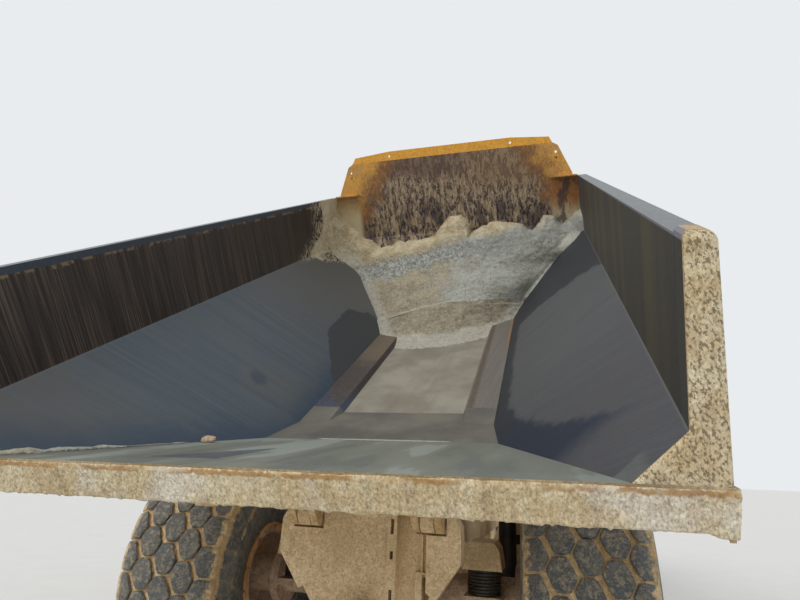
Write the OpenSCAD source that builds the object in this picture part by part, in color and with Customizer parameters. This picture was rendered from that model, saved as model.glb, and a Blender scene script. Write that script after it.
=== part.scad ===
// Articulated dump truck with its load body raised.
// Lengths in the modules are measured forwards (+Y) from the rear axle, and the
// whole truck is then moved so that its middle stands over the origin.

/* [Wheels] */
// Radius of a tyre out to its lug tips
tyre_r = 935; // [880:5:960]
// Half the width of the tread
tread_half = 350; // [300:5:365]
// Bulge of the sidewall past the tread
sidewall_bulge = 25; // [0:1:30]
// Depth of the grooves between lugs
lug_depth = 34; // [20:1:45]
// Distance of a tyre's middle from the truck's middle plane
track_half = 1280; // [1270:5:1300]
// Outer radius of a rim's flange
flange_r = 360; // [340:5:380]
// Half the distance between the flanges of a rim
flange_half = 250; // [200:5:290]
// Radius of the rim's well, where the tyre seats
seat_r = 305; // [290:1:320]

/* [Axles] */
// Distance from the rear axle to the middle axle
bogie_pitch = 1950; // [1900:10:2100]
// Distance from the steering pin to the front axle
axle_ahead = 1700; // [1680:10:1800]
// Radius of an axle tube
axle_r = 110; // [90:5:125]
// Radius of a differential housing
diff_r = 255; // [200:5:270]
// Radius of the stub that a wheel hub turns on
stub_r = 120; // [118:1:140]

/* [Rear frame] */
// Inner face of a frame rail
rail_in = 300; // [280:5:310]
// Outer face of a frame rail
rail_out = 430; // [400:5:435]
// Underside of the rear rails
rail_low = 1130; // [1100:5:1200]
// Top of the rear rails
rail_top = 1480; // [1400:5:1482]
// Front end of the rear rails
rail_front = 3550; // [3400:10:3600]
// Height of the rear walking beam pivots
walk_z = 930; // [900:5:960]

/* [Load body] */
// Angle at which the load body stands
tip_rest = 31; // [0:1:70]
// Height of the load body's pivot
pivot_z = 1450; // [1448:1:1500]
// Distance of the pivot behind the rear axle
pivot_back = 750; // [700:10:800]
// Distance of the rear lip behind the pivot
lip_back = 1158; // [1100:2:1250]
// Height of the valley floor above the pivot
floor_rise = 214; // [205:1:240]
// Inside length of the load body along its rails
bed_len = 5300; // [5200:10:5350]
// Thickness of the floor plates
floor_t = 24; // [15:1:28]
// Thickness of the side plates
side_t = 25; // [15:1:35]
// Half the width of the valley floor
valley_half = 475; // [400:5:500]
// Outer edge of the shelf beside the valley
shelf_out = 728; // [700:2:740]
// Height of the shelf over the valley
shelf_rise = 51; // [30:1:60]
// Half the inside width where the side plates break
break_half = 1533; // [1500:1:1545]
// Height of that break over the valley
break_rise = 957; // [900:1:1000]
// Height of the top rails over the valley
rail_rise = 1550; // [1450:5:1600]
// Height of the rear lip over the valley
lip_rise = 776; // [700:2:800]
// Depth of the rear lip's face
lip_drop = 163; // [120:1:200]
// Height of the guard's top edge over the valley
guard_rise = 2060; // [1950:5:2100]

/* [Hoist] */
// Distance of a hoist cylinder from the middle plane
hoist_x = 745; // [735:5:750]
// Radius of a hoist barrel
barrel_r = 72; // [65:1:78]
// Radius of the sleeve that slides out of a barrel
sleeve_r = 58; // [50:1:62]
// Radius of a hoist rod
hoist_rod_r = 42; // [36:1:46]
// Lower hoist pin, ahead of the rear axle
hoist_y = 450; // [430:5:470]
// Height of the lower hoist pin
hoist_z = 620; // [600:5:640]
// Upper hoist pin on the load body, ahead of the body's pivot
hoist_pin_v = 1457; // [1440:1:1470]
// Upper hoist pin on the load body, above the body's pivot
hoist_pin_w = 40; // [30:1:60]

/* [Hitch] */
// Upright steering pin, ahead of the rear axle
hitch_y = 4700; // [4680:10:4750]
// Height of the long pin that lets the tractor roll
roll_z = 1070; // [1060:5:1080]
// Radius of that long pin
roll_r = 150; // [120:5:160]
// Height of the steering cylinders
steer_z = 1000; // [990:1:1005]
// Steering arm eye, beside the middle plane
arm_x = 330; // [320:5:350]
// Steering arm eye, behind the steering pin
arm_back = 100; // [80:5:110]
// Rear pin of a steering barrel, beside the middle plane
steer_x = 450; // [440:5:470]
// That pin, ahead of the steering pin
steer_ahead = 1050; // [1030:10:1100]
// Radius of a steering barrel
steer_barrel_r = 48; // [40:1:50]
// Radius of a steering rod
steer_rod_r = 28; // [20:1:32]

/* [Tractor] */
// Front face of the bumper, ahead of the rear axle
nose_y = 9300; // [9250:10:9400]
// Half the width of the hood
hood_half = 700; // [650:5:710]
// Top of the hood at the cab
hood_top = 2620; // [2500:10:2700]
// Top of the hood at the grille
hood_nose = 2260; // [2200:10:2350]
// Thickness of the hood's skin
hood_t = 30; // [20:1:40]
// Half the width of the cab
cab_half = 850; // [800:5:850]
// Rear face of the cab, ahead of the rear axle
cab_rear = 4950; // [4940:10:5000]
// Front face of the cab, ahead of the rear axle
cab_front = 6350; // [6330:10:6360]
// Underside of the cab
cab_low = 1900; // [1890:5:1910]
// Underside of the cab's roof
cab_top = 3550; // [3500:10:3600]
// Thickness of the cab's walls
cab_t = 50; // [40:1:60]
// Top of the fender decks
deck_z = 1975; // [1970:1:1980]

/* [Hidden] */

$fn = 64;
// Gap between pieces that turn or slide on each other
run_gap = 0.3;
// Far more than any size of the truck, for cutting solids
far = 20000;

yellow = "#d9a21b";
dark_steel = "#3b3f44";
worn_steel = "#5b636c";
mud = "#b29a78";
black = "#1c1c1e";

wheelbase = hitch_y + axle_ahead;

// Widths of the load body that follow the one where its side plates break
rail_half = break_half - 27;
post_out = break_half + 67;
lip_half = post_out + 70;

// The whole truck is centred over the origin between its bumper and the raised body's posts.
post_rise = 1570;
tail_y = -pivot_back - lip_back * cos(tip_rest) - (post_rise + floor_rise) * sin(tip_rest);
centre_y = (nose_y + tail_y) / 2;

// Solids and copies that the sub-parts share

// A block between two opposite corners
module block(low, high) {
    translate(low) cube(high - low);
}

// A copy on each side of the middle plane
module both_sides() {
    children();
    mirror([1, 0, 0]) children();
}

// An outline in Y and Z, drawn out along X from x0 to x1
module along_x(outline, x0, x1) {
    translate([x0, 0, 0]) rotate([90, 0, 90]) linear_extrude(x1 - x0) polygon(outline);
}

// An outline in X and Z, drawn out along Y from y0 to y1
module along_y(outline, y0, y1) {
    translate([0, y1, 0]) rotate([90, 0, 0]) linear_extrude(y1 - y0) polygon(outline);
}

// A round bar along X at one place in Y and Z
module bar_x(x0, x1, at, r) {
    translate([x0, at[0], at[1]]) rotate([0, 90, 0]) cylinder(h = x1 - x0, r = r);
}

// A round bar along Y at one place in X and Z
module bar_y(y0, y1, at, r) {
    translate([at[0], y0, at[1]]) rotate([-90, 0, 0]) cylinder(h = y1 - y0, r = r);
}

// A round bar along Z at one place in X and Y
module bar_z(z0, z1, at, r) {
    translate([at[0], at[1], z0]) cylinder(h = z1 - z0, r = r);
}

// The truck's own place over the origin
module placed() {
    translate([0, -centre_y, 0]) children();
}

// Wheels

wheels = [
    // name, side, distance ahead of the rear axle
    ["rear_left", -1, 0], ["rear_right", 1, 0],
    ["middle_left", -1, bogie_pitch], ["middle_right", 1, bogie_pitch],
    ["front_left", -1, wheelbase], ["front_right", 1, wheelbase]
];

disc_x = 60;
disc_t = 40;
hub_r = 190;
hub_x = 250;

// A wheel's solid about its own axle, with +Z pointing outwards
module at_wheel(side, y) {
    placed() translate([side * track_half, y, tyre_r]) rotate([0, side * 90, 0]) children();
}

// A tyre's rings of points, each at a radius and a place along the axle. A plain ring has one
// point a lug; a lugged one has two on each lug's edges and one down in the groove between.
lugs = 30;
lug_pitch = 360 / lugs;
groove_at = [0.38, 0.5, 0.62];

function plain_ring(r, x) = [for (i = [0 : lugs - 1])
    [r * cos(i * lug_pitch), r * sin(i * lug_pitch), x]];

function lugged_ring(r, x) = [for (i = [0 : lugs - 1], k = [0 : 2])
    let (a = (i + groove_at[k]) * lug_pitch, at = k == 1 ? r - lug_depth : r)
    [at * cos(a), at * sin(a), x]];

// Triangles between two rings of n points that start at the numbers a and b in the list; the
// second ring is taken some points further on, so that the grooves between them run slanting.
function strip(a, b, n, slant = 0) = [for (i = [0 : n - 1])
    let (j = (i + 1) % n, k = (i + slant) % n, m = (i + slant + 1) % n)
    each [[a + j, a + i, b + k], [a + j, b + k, b + m]]];

// Triangles between a plain ring and a lugged one, the other way out when the lugged one is first
function fan(plain, lugged, lugged_first) = [for (i = [0 : lugs - 1])
    let (j = (i + 1) % lugs, before = lugged + (3 * i + 3 * lugs - 1) % (3 * lugs), own = lugged + 3 * i)
    for (t = [[plain + i, before, own], [plain + i, own, own + 1], [plain + i, own + 1, plain + j],
              [plain + j, own + 1, own + 2]])
        lugged_first ? [t[0], t[2], t[1]] : t];

module tyre(side, y) {
    wall_r = (tyre_r + flange_r) / 2;
    wall_x = tread_half + sidewall_bulge;
    bead_x = flange_half - run_gap;
    // The middles of the flats touch these radii, the bore's and the bead's clear of the rim
    bore_r = (seat_r + run_gap) / cos(lug_pitch / 2);
    bead_r = (flange_r + run_gap) / cos(lug_pitch / 2);
    crown_r = tyre_r / cos(lug_pitch * (groove_at[0] + 1 - groove_at[2]) / 2);
    edge_r = tyre_r - 8;
    edge_x = tread_half - 15;
    half = [[bore_r, bead_x], [bead_r, bead_x], [wall_r, wall_x]];
    points = concat(
        [for (p = half) each plain_ring(p[0], -p[1])],
        lugged_ring(edge_r, -edge_x), lugged_ring(crown_r, 0), lugged_ring(edge_r, edge_x),
        [for (i = [2 : -1 : 0]) each plain_ring(half[i][0], half[i][1])]);
    // Where the lugged rings and the other side's plain rings start in that list
    tread = 3 * lugs;
    other = tread + 9 * lugs;
    faces = concat(
        strip(0, lugs, lugs), strip(lugs, 2 * lugs, lugs), fan(2 * lugs, tread, false),
        strip(tread, tread + 3 * lugs, 3 * lugs, 3), strip(tread + 3 * lugs, tread + 6 * lugs, 3 * lugs, 3),
        fan(other, tread + 6 * lugs, true), strip(other, other + lugs, lugs),
        strip(other + lugs, other + 2 * lugs, lugs), strip(other + 2 * lugs, 0, lugs));
    color(black) at_wheel(side, y) polyhedron(points, faces);
}

module rim(side, y) {
    flange_t = 22;
    well_t = 18;
    color(yellow) at_wheel(side, y) rotate_extrude($fn = 72) {
        polygon([[seat_r - well_t, -flange_half - flange_t], [flange_r, -flange_half - flange_t],
                 [flange_r, -flange_half], [seat_r, -flange_half], [seat_r, flange_half],
                 [flange_r, flange_half], [flange_r, flange_half + flange_t],
                 [seat_r - well_t, flange_half + flange_t]]);
        translate([stub_r + run_gap, disc_x]) square([seat_r - well_t - stub_r, disc_t]);
        polygon([[stub_r + run_gap, disc_x - 60], [hub_r, disc_x - 60], [hub_r, hub_x - 50],
                 [hub_r - 60, hub_x], [0, hub_x], [0, disc_x + 160], [stub_r + run_gap, disc_x + 160]]);
    }
}

module wheel_node(i) {
    w = wheels[i];
    tyre(w[1], w[2]);
    rim(w[1], w[2]);
}

// Axles, walking beams and springs

hub_in = 900;
diff_half = 250;

module axle(y) {
    stub_end = track_half + disc_x + 150;
    bar_x(-hub_in, hub_in, [y, tyre_r], axle_r);
    both_sides() bar_x(hub_in - 60, hub_in, [y, tyre_r], hub_r);
    both_sides() bar_x(hub_in, stub_end, [y, tyre_r], stub_r);
    bar_y(y - diff_r - 20, y + diff_r + 20, [0, tyre_r], 110);
    translate([0, y, tyre_r]) rotate([0, 90, 0]) rotate_extrude()
        polygon([[0, -diff_half], [140, -diff_half], [diff_r, -diff_half + 130], [diff_r, diff_half - 130],
                 [140, diff_half], [0, diff_half]]);
}

spring_x = 650;
spring_r = 108;
spring_y = 225;
spring_low = 972;
spring_high = 1126;

// The seat that carries a rubber spring, on the side of the axle away from the bogie's middle
module spring_seats(y, way) {
    seat_y = y + way * spring_y;
    near = y + way * (axle_r - 40);
    edge = seat_y + way * (spring_r + 12);
    both_sides() {
        block([spring_x - spring_r - 10, min(near, edge), spring_low - 40],
              [spring_x + spring_r + 10, max(near, edge), spring_low]);
    }
}

module axle_rear() {
    color(mud) placed() {
        axle(0);
        spring_seats(0, -1);
    }
}

module axle_middle() {
    color(mud) placed() {
        axle(bogie_pitch);
        spring_seats(bogie_pitch, 1);
    }
}

pad_z = tyre_r + axle_r + 15;

module axle_front() {
    color(dark_steel) placed() {
        axle(wheelbase);
        both_sides() block([strut_x - 80, wheelbase - 80, tyre_r], [strut_x + 80, wheelbase + 80, pad_z]);
    }
}

walk_in = 530;
walk_out = 655;
walk_y = bogie_pitch / 2;
walk_stub = 95;

module walking_beams() {
    end_y = spring_y + spring_r + 20;
    beam_view = [[-end_y, spring_high + 165], [-end_y, spring_high], [100, spring_high],
                 [walk_y - 200, walk_z - 130], [walk_y + 200, walk_z - 130],
                 [bogie_pitch - 100, spring_high], [bogie_pitch + end_y, spring_high],
                 [bogie_pitch + end_y, spring_high + 165],
                 [walk_y + 260, walk_z + 150], [walk_y - 260, walk_z + 150]];
    color(mud) placed() both_sides() {
        difference() {
            along_x(beam_view, walk_in, walk_out);
            bar_x(walk_in - 1, walk_out + 1, [walk_y, walk_z], walk_stub + run_gap);
        }
        for (y = [-spring_y, bogie_pitch + spring_y])
            along_y([[spring_x - 127, spring_high], [spring_x + 127, spring_high],
                     [spring_x + 110, spring_high + 120], [spring_x + 80, spring_high + 165],
                     [spring_x - 80, spring_high + 165], [spring_x - 110, spring_high + 120]],
                    y - spring_r - 20, y + spring_r + 20);
    }
}

module rubber_springs() {
    ribs = 8;
    rib_h = (spring_high - spring_low) / ribs;
    color(black) placed() both_sides()
        for (y = [-spring_y, bogie_pitch + spring_y])
            translate([spring_x, y, spring_low]) rotate_extrude($fn = 48)
                polygon(concat([[0, 0]], [for (i = [0 : ribs - 1]) each
                    [[spring_r - 12, i * rib_h], [spring_r, (i + 0.3) * rib_h],
                     [spring_r, (i + 0.7) * rib_h], [spring_r - 12, (i + 1) * rib_h]]],
                    [[0, spring_high - spring_low]]));
}

module drive_shafts() {
    shafts = [
        // rear end, front end
        [diff_r + 20, bogie_pitch - diff_r - 20],
        [bogie_pitch + diff_r + 20, neck_rear]
    ];
    color(dark_steel) placed() for (s = shafts) {
        bar_y(s[0], s[1], [0, tyre_r], 55);
        bar_y(s[0], s[0] + 60, [0, tyre_r], 100);
        bar_y(s[1] - 60, s[1], [0, tyre_r], 100);
    }
}

// Rear frame

pivot_y = -pivot_back;
ear_in = 350;
ear_out = rail_out;
ear_r = 85;
pin_r = 45;
end_plate_y = -700;
end_plate_t = 30;
rail_rear = pivot_y + 160;
neck_rear = 3620;
neck_front = 3950;
ring_front = 4250;

carrier_y = [600, 720];
carrier_z = [560, 690];
hoist_eye_half = 46;
clevis_t = 26;
clevis_gap = 3;
// Half the width between the ears on the load body, which the barrels' tops pass
anchor_half = barrel_r + 6;
clevis_in = hoist_x - hoist_eye_half - clevis_gap;
clevis_out = hoist_x + hoist_eye_half + clevis_gap;
hoist_pin_r = 35;

module rear_frame() {
    color(mud) placed() {
        difference() {
            union() {
                // Rails, with a lug round each body pivot at the tail
                both_sides() block([rail_in, rail_rear, rail_low], [rail_out, rail_front, rail_top]);
                both_sides() bar_x(ear_in, ear_out, [pivot_y, pivot_z], ear_r);
                both_sides() block([ear_in, pivot_y, pivot_z - ear_r], [ear_out, rail_rear, rail_top]);
                frame_tail();
                // Drop plates that carry the walking beams and the hoist carrier
                both_sides() along_x([[carrier_y[0], carrier_z[0]], [carrier_y[1], carrier_z[0]],
                                      [walk_y + 140, walk_z - 110], [walk_y + 180, rail_low],
                                      [walk_y - 220, rail_low], [carrier_y[0], carrier_z[1]]],
                                     rail_in, rail_out);
                both_sides() bar_x(rail_out, walk_out + 25, [walk_y, walk_z], walk_stub);
                block([-clevis_out - clevis_t, carrier_y[0], carrier_z[0]],
                      [clevis_out + clevis_t, carrier_y[1], carrier_z[1]]);
                both_sides() for (x = [clevis_in - clevis_t, clevis_out]) hoist_lug(x);
                // Cross members and the neck that holds the roll bearing
                for (y = [1500, 2500]) block([-rail_in, y, rail_low + 90], [rail_in, y + 110, rail_top - 60]);
                along_x([[rail_front - 120, rail_low], [rail_front - 120, rail_top], [rail_front, rail_top],
                         [ring_front, roll_z + 230], [ring_front, roll_z - 230],
                         [neck_rear, roll_z - 230], [neck_rear, rail_low]], -260, 260);
                both_sides() block([240, rail_front - 120, rail_low], [rail_out, rail_front, rail_top]);
            }
            both_sides() bar_x(ear_in - 1, ear_out + 1, [pivot_y, pivot_z], pin_r + run_gap);
            bar_y(neck_front - 60, ring_front + 1, [0, roll_z], roll_r + run_gap);
            both_sides() for (x = [clevis_in - clevis_t, clevis_out])
                bar_x(x - 1, x + clevis_t + 1, [hoist_y, hoist_z], hoist_pin_r + run_gap);
            bar_z(tow_z - 1, tow_z + tow_t + 1, [0, end_plate_y - tow_out], tow_r);
        }
    }
}

// One of the two plates beside a hoist barrel's eye
module hoist_lug(x) {
    r = 75;
    bar_x(x, x + clevis_t, [hoist_y, hoist_z], r);
    along_x([[hoist_y, hoist_z - r], [carrier_y[0], carrier_z[0]], [carrier_y[0], hoist_z + 5],
             [hoist_y + 20, hoist_z + r - 3]], x, x + clevis_t);
}

tow_z = 905;
tow_front_z = 940;
tow_t = 60;
tow_out = 90;
tow_r = 32;

// The plates at the frame's end, cut away where the load body's lugs turn
module frame_tail() {
    back = end_plate_y - end_plate_t;
    tail_low = 830;
    plate_half = ear_in - 60;
    notch_z = pivot_z - ear_r - 15;
    flare_in = ear_out + 62;
    flare_out = 578;
    strip_x = [130, 190];
    slot_x = [150, 170];
    // Low and high end of each slot in the strip
    slots = [[960, 1040], [1205, 1250], [1345, 1430]];
    ledge_z = 1130;
    // The wide end plate, a strip down its edge and the set-back part beside that
    along_y([[-plate_half, rail_top], [-plate_half, notch_z], [-rail_out, notch_z], [-rail_out, 1060],
             [-340, 930], [-250, tail_low], [strip_x[0], tail_low], [strip_x[0], rail_top]], back, end_plate_y);
    difference() {
        block([strip_x[0], back - 15, tail_low], [strip_x[1], end_plate_y + 60, rail_top]);
        for (z = slots) block([slot_x[0], back - 16, z[0]], [slot_x[1], end_plate_y + 61, z[1]]);
    }
    difference() {
        along_y([[strip_x[1], tail_low], [350, tail_low], [rail_out, 1060], [rail_out, notch_z],
                 [plate_half, notch_z], [plate_half, rail_top], [strip_x[1], rail_top]],
                end_plate_y + 30, end_plate_y + 60);
        // A slanting hole below the ledge
        along_y([[345, ledge_z - 20], [405, ledge_z - 20], [370, 965], [300, 965]],
                end_plate_y + 29, end_plate_y + 61);
    }
    // A ledge across the set-back part and a rib that stands on it
    block([300, end_plate_y, ledge_z], [rail_out, end_plate_y + 30, ledge_z + 12]);
    block([330, end_plate_y + 8, ledge_z], [342, end_plate_y + 30, notch_z]);
    // Side brackets that flare out past the pivots
    both_sides() along_y([[rail_out - 60, notch_z], [rail_out - 60, 1040], [rail_out, 1000], [flare_out - 5, 1200],
                          [flare_out, 1300], [flare_out - 5, 1400], [flare_out - 40, 1460],
                          [flare_in, 1460], [flare_in, notch_z]], back, rail_rear);
    // Floor and cheeks of the tail, and its towing eye
    block([-rail_in, end_plate_y, tail_low], [rail_in, -diff_r - 60, tail_low + 30]);
    both_sides() block([rail_in, end_plate_y, tail_low], [rail_in + 40, -diff_r - 60, rail_low]);
    bar_z(tow_z, tow_z + tow_t, [0, end_plate_y - tow_out], tow_out - 10);
    block([-tow_out + 10, end_plate_y - tow_out, tow_z], [tow_out - 10, end_plate_y, tow_z + tow_t]);
}

// Hitch between the two halves of the truck

ear_top = [roll_z + 175, roll_z + 235];
ear_low = [roll_z - 235, roll_z - 175];
hitch_r = 150;
king_r = 60;

module hitch() {
    plate_gap = 33;
    color(dark_steel) placed() {
        difference() {
            union() {
                bar_y(neck_front - 40, hitch_y - 250, [0, roll_z], roll_r);
                bar_y(ring_front + 20, ring_front + 70, [0, roll_z], roll_r + 40);
                along_y([[-170, roll_z - 170], [170, roll_z - 170], [170, roll_z + 170],
                         [-170, roll_z + 170]], ring_front + 60, hitch_y);
                bar_z(roll_z - 170, roll_z + 170, [0, hitch_y], 170);
                // Steering arms, an ear above and an ear below each rod's eye
                both_sides() for (z = [steer_z - plate_gap - 25, steer_z + plate_gap])
                    steering_arm(z);
            }
            bar_z(roll_z - far, roll_z + far, [0, hitch_y], king_r + run_gap);
            both_sides() for (z = [steer_z - plate_gap - 25, steer_z + plate_gap])
                bar_z(z - 1, z + 26, [arm_x, hitch_y - arm_back], 25);
        }
    }
}

module steering_arm(z) {
    y = hitch_y - arm_back;
    bar_z(z, z + 25, [arm_x, y], 58);
    translate([0, 0, z]) linear_extrude(25)
        polygon([[150, y - 150], [arm_x - 20, y - 58], [arm_x, y - 58], [arm_x, y + 58], [150, y + 58]]);
}

// Tractor frame, axle and struts

front_low = roll_z + 10;
front_high = front_low + 250;
front_rear = hitch_y + 200;
front_end = nose_y - 250;
strut_x = 560;
post_half = 250;
strut_top = front_high + 310;

// Rear and front face of the engine block and of the radiator ahead of it
engine_y = [wheelbase + 500, wheelbase + 1950];
engine_half = 420;
engine_top = hood_top - 540;
radiator_y = [nose_y - 600, nose_y - 450];
radiator_half = 560;
radiator_top = hood_nose - 140;

// Side tanks behind the front wheels, fenders over these, ladders ahead of them
tank_y = [cab_rear + 60, wheelbase - tyre_r - 275];
tank_z = [front_low + 60, deck_z - 175];
tank_in = cab_half + 30;
tank_out = tank_in + 470;
fender_y = [wheelbase - tyre_r - 265, wheelbase + tyre_r + 285];
fender_out = track_half + tread_half;
ladder_x = [cab_half + 50, cab_half + 550];
ladder_y = [fender_y[1], fender_y[1] + 180];

// Crosswise pieces between the rails, and the cab's mounts
cross_y = [front_rear + 200, cab_front - 300, engine_y[1] + 150, front_end - 110];
cross_t = 110;
cab_mount_y = [cab_rear + 200, cab_front - 200];

module front_frame() {
    rail_side = rail_out - 10;
    fender_foot = fender_y[1] - 420;
    color(dark_steel) placed() {
        both_sides() block([rail_in, front_rear + 100, front_low], [rail_side, front_end, front_high]);
        for (y = cross_y)
            block([-rail_in, y, front_low + 20], [rail_in, y + cross_t, front_high - 40]);
        // The post behind the cab and the two ears round the steering pin
        along_x([[front_rear, ear_low[0]], [front_rear + 220, ear_low[0]], [front_rear + 300, front_low],
                 [front_rear + 300, front_high], [front_rear + 220, ear_top[1]],
                 [front_rear, ear_top[1]]], -post_half, post_half);
        both_sides() block([post_half - 10, front_rear, front_low],
                           [rail_side, front_rear + cross_t, front_high]);
        for (z = [ear_low, ear_top]) {
            bar_z(z[0], z[1], [0, hitch_y], hitch_r);
            block([-hitch_r, hitch_y, z[0]], [hitch_r, front_rear, z[1]]);
        }
        bar_z(ear_low[0] - 15, ear_top[1] + 15, [0, hitch_y], king_r);
        both_sides() {
            steer_mount();
            strut_tower();
            hood_lug();
            for (y = cab_mount_y)
                block([rail_side - 120, y, front_high], [rail_side, y + 120, cab_low]);
            // Brackets for a tank, a ladder and a fender's upright
            block([rail_side, tank_y[0] + 70, tank_z[0]], [tank_in, tank_y[1] + 10, tank_z[0] + 100]);
            block([rail_side, ladder_y[0] - 140, front_high - 130],
                  [ladder_x[0], ladder_y[0] - 20, front_high - 30]);
            block([rail_side, fender_foot, front_high - 100],
                  [cab_half + 40, fender_foot + 60, front_high - 40]);
        }
    }
}

// Ears above and below a steering barrel's eye, with its pin
module steer_mount() {
    y = hitch_y + steer_ahead;
    low = steer_z - 33 - 20;
    translate([0, 0, steer_z + 33]) linear_extrude(front_low - steer_z - 33)
        polygon([[rail_in + 40, y - 60], [steer_x + 20, y - 60], [steer_x + 60, y - 20],
                 [steer_x + 60, y + 95], [rail_in + 40, y + 95]]);
    block([steer_x - 90, y - 55, low], [steer_x + 60, y + 95, low + 20]);
    block([steer_x - 90, y + 65, low], [steer_x + 60, y + 95, front_low]);
    bar_z(low, front_low, [steer_x, y], 24);
}

module strut_tower() {
    block([rail_out - 40, wheelbase - 110, front_high], [rail_out - 10, wheelbase + 110, strut_top]);
    block([rail_out - 40, wheelbase - 110, strut_top], [strut_x + 90, wheelbase + 110, strut_top + 60]);
}

module front_struts() {
    color(black) placed() both_sides() {
        bar_z(pad_z, strut_top - 250, [strut_x, wheelbase], 58);
        bar_z(strut_top - 300, strut_top, [strut_x, wheelbase], 74);
    }
}

module engine() {
    sump_top = front_high + 20;
    fan_low = sump_top + 10;
    color(dark_steel) placed() {
        block([-rail_in, engine_y[0], front_low + 40], [rail_in, engine_y[1], sump_top]);
        block([-engine_half, engine_y[0], sump_top], [engine_half, engine_y[1], engine_top]);
        block([-radiator_half, radiator_y[0], front_high], [radiator_half, radiator_y[1], radiator_top]);
        block([-rail_in, engine_y[1], fan_low], [rail_in, radiator_y[0], fan_low + 100]);
    }
}

hood_pivot = [nose_y - 180, front_high];
hood_lug_x = 380;

// The lug and pin that the hood's front edge turns on
module hood_lug() {
    block([hood_lug_x, front_end - 20, front_high - 80], [hood_lug_x + 30, hood_pivot[0] + 25, front_high]);
    block([hood_lug_x, front_end + 20, front_high - 40], [hood_lug_x + 30, hood_pivot[0] + 25, front_high + 15]);
    bar_x(hood_lug_x, hood_lug_x + 75, hood_pivot, 14);
}

module bumper() {
    low = 720;
    high = front_high - 130;
    wing = 1150;
    face = 850;
    inner = 900;
    recess_half = 160;
    recess_y = nose_y - 150;
    color(dark_steel) placed() {
        difference() {
            translate([0, 0, low]) linear_extrude(high - low)
                polygon([[-wing, front_end + 40], [-wing, front_end + 110], [-face, nose_y], [face, nose_y],
                         [wing, front_end + 110], [wing, front_end + 40], [inner, front_end + 40],
                         [inner, front_end], [-inner, front_end], [-inner, front_end + 40]]);
            // Recess round the towing eye, open below so that its pin comes from there
            block([-recess_half, recess_y, low - 1], [recess_half, nose_y + 1, tow_front_z + tow_t + 60]);
        }
        difference() {
            bar_z(tow_front_z, tow_front_z + tow_t, [0, nose_y - 95], 75);
            bar_z(tow_front_z - 1, tow_front_z + tow_t + 1, [0, nose_y - 95], tow_r);
        }
    }
}

module fenders() {
    t = 25;
    rear = fender_y[0];
    front = fender_y[1];
    drop = 120;
    rear_low = deck_z - 475;
    front_low_edge = deck_z - 225;
    foot = front - 420;
    rail_x = fender_out - 40;
    posts = [front - 1120, front - 120];
    rail_z = deck_z + 900;
    band = [[rear, rear_low], [rear, deck_z - drop], [rear + 110, deck_z], [front - 110, deck_z],
            [front, deck_z - drop], [front, front_low_edge], [front - t, front_low_edge],
            [front - t, deck_z - drop - 10], [front - drop, deck_z - t], [rear + drop, deck_z - t],
            [rear + t, deck_z - drop - 10], [rear + t, rear_low]];
    color(yellow) placed() both_sides() {
        along_x(band, cab_half + 10, fender_out);
        // Upright on the frame's bracket, a foot against the cab and a handrail
        block([cab_half + 10, foot, front_high - 40], [cab_half + 40, foot + 60, deck_z - t]);
        block([cab_half, cab_rear + 300, cab_low + 20], [cab_half + 10, cab_rear + 420, deck_z]);
        for (y = posts) bar_z(deck_z, rail_z, [rail_x, y], handrail_r);
        bar_y(posts[0] - handrail_r, posts[1] + handrail_r, [rail_x, rail_z], handrail_r);
    }
}

handrail_r = 18;

// Openings of the cab: the door's in Y and Z, then each window's
door_y = [cab_rear + 194, cab_front - 194];
door_z = [cab_low + 85, cab_top - 130];
sill = 450;
window_half = cab_half - 150;
window_top = cab_top - 100;
front_window_low = hood_top + 40;
rear_window_low = cab_low + 550;
side_window_y = [cab_rear + 170, cab_front - 170];
side_window_z = [cab_low + 480, cab_top - 130];

module cab_shell() {
    win = [
        // low corner and high corner of each opening cut through the walls
        [[-window_half, cab_front - cab_t - 1, front_window_low], [window_half, cab_front + 1, window_top]],
        [[-window_half, cab_rear - 1, rear_window_low], [window_half, cab_rear + cab_t + 1, window_top]],
        [[cab_half - cab_t - 1, side_window_y[0], side_window_z[0]],
         [cab_half + 1, side_window_y[1], side_window_z[1]]],
        [[-cab_half - 1, door_y[0], door_z[0]], [-cab_half + cab_t + 1, door_y[1], door_z[1]]]
    ];
    color(yellow) placed() difference() {
        block([-cab_half, cab_rear, cab_low], [cab_half, cab_front, cab_top]);
        block([-cab_half + cab_t, cab_rear + cab_t, cab_low + cab_t],
              [cab_half - cab_t, cab_front - cab_t, cab_top + 1]);
        for (w = win) block(w[0], w[1]);
    }
    color(yellow) placed() for (z = hinge_z) {
        block([hinge_at[0] - 11, hinge_at[1] - 34, z - 30], [-cab_half, hinge_at[1] + 5, z]);
        bar_z(z - 30, z + 50, hinge_at, 6);
    }
}

module cab_roof() {
    over = 30;
    color(yellow) placed() along_y([[-cab_half - over, cab_top], [cab_half + over, cab_top],
                                    [cab_half + over, cab_top + 60], [cab_half - 60, cab_top + 130],
                                    [-cab_half + 60, cab_top + 130], [-cab_half - over, cab_top + 60]],
                                   cab_rear - over, cab_front + over + 60);
}

glass_t = 10;

module cab_windows() {
    mid = cab_t / 2 - glass_t / 2;
    color("#9fb4bd") placed() {
        block([-window_half, cab_front - mid - glass_t, front_window_low],
              [window_half, cab_front - mid, window_top]);
        block([-window_half, cab_rear + mid, rear_window_low],
              [window_half, cab_rear + mid + glass_t, window_top]);
        block([cab_half - mid - glass_t, side_window_y[0], side_window_z[0]],
              [cab_half - mid, side_window_y[1], side_window_z[1]]);
    }
}

door_gap = 6;
// The door's upright hinge line and the heights of its hinges
hinge_at = [-cab_half - 16, door_y[0]];
hinge_z = [door_z[0] + 165, door_z[0] + 765, door_z[1] - 120];

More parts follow.
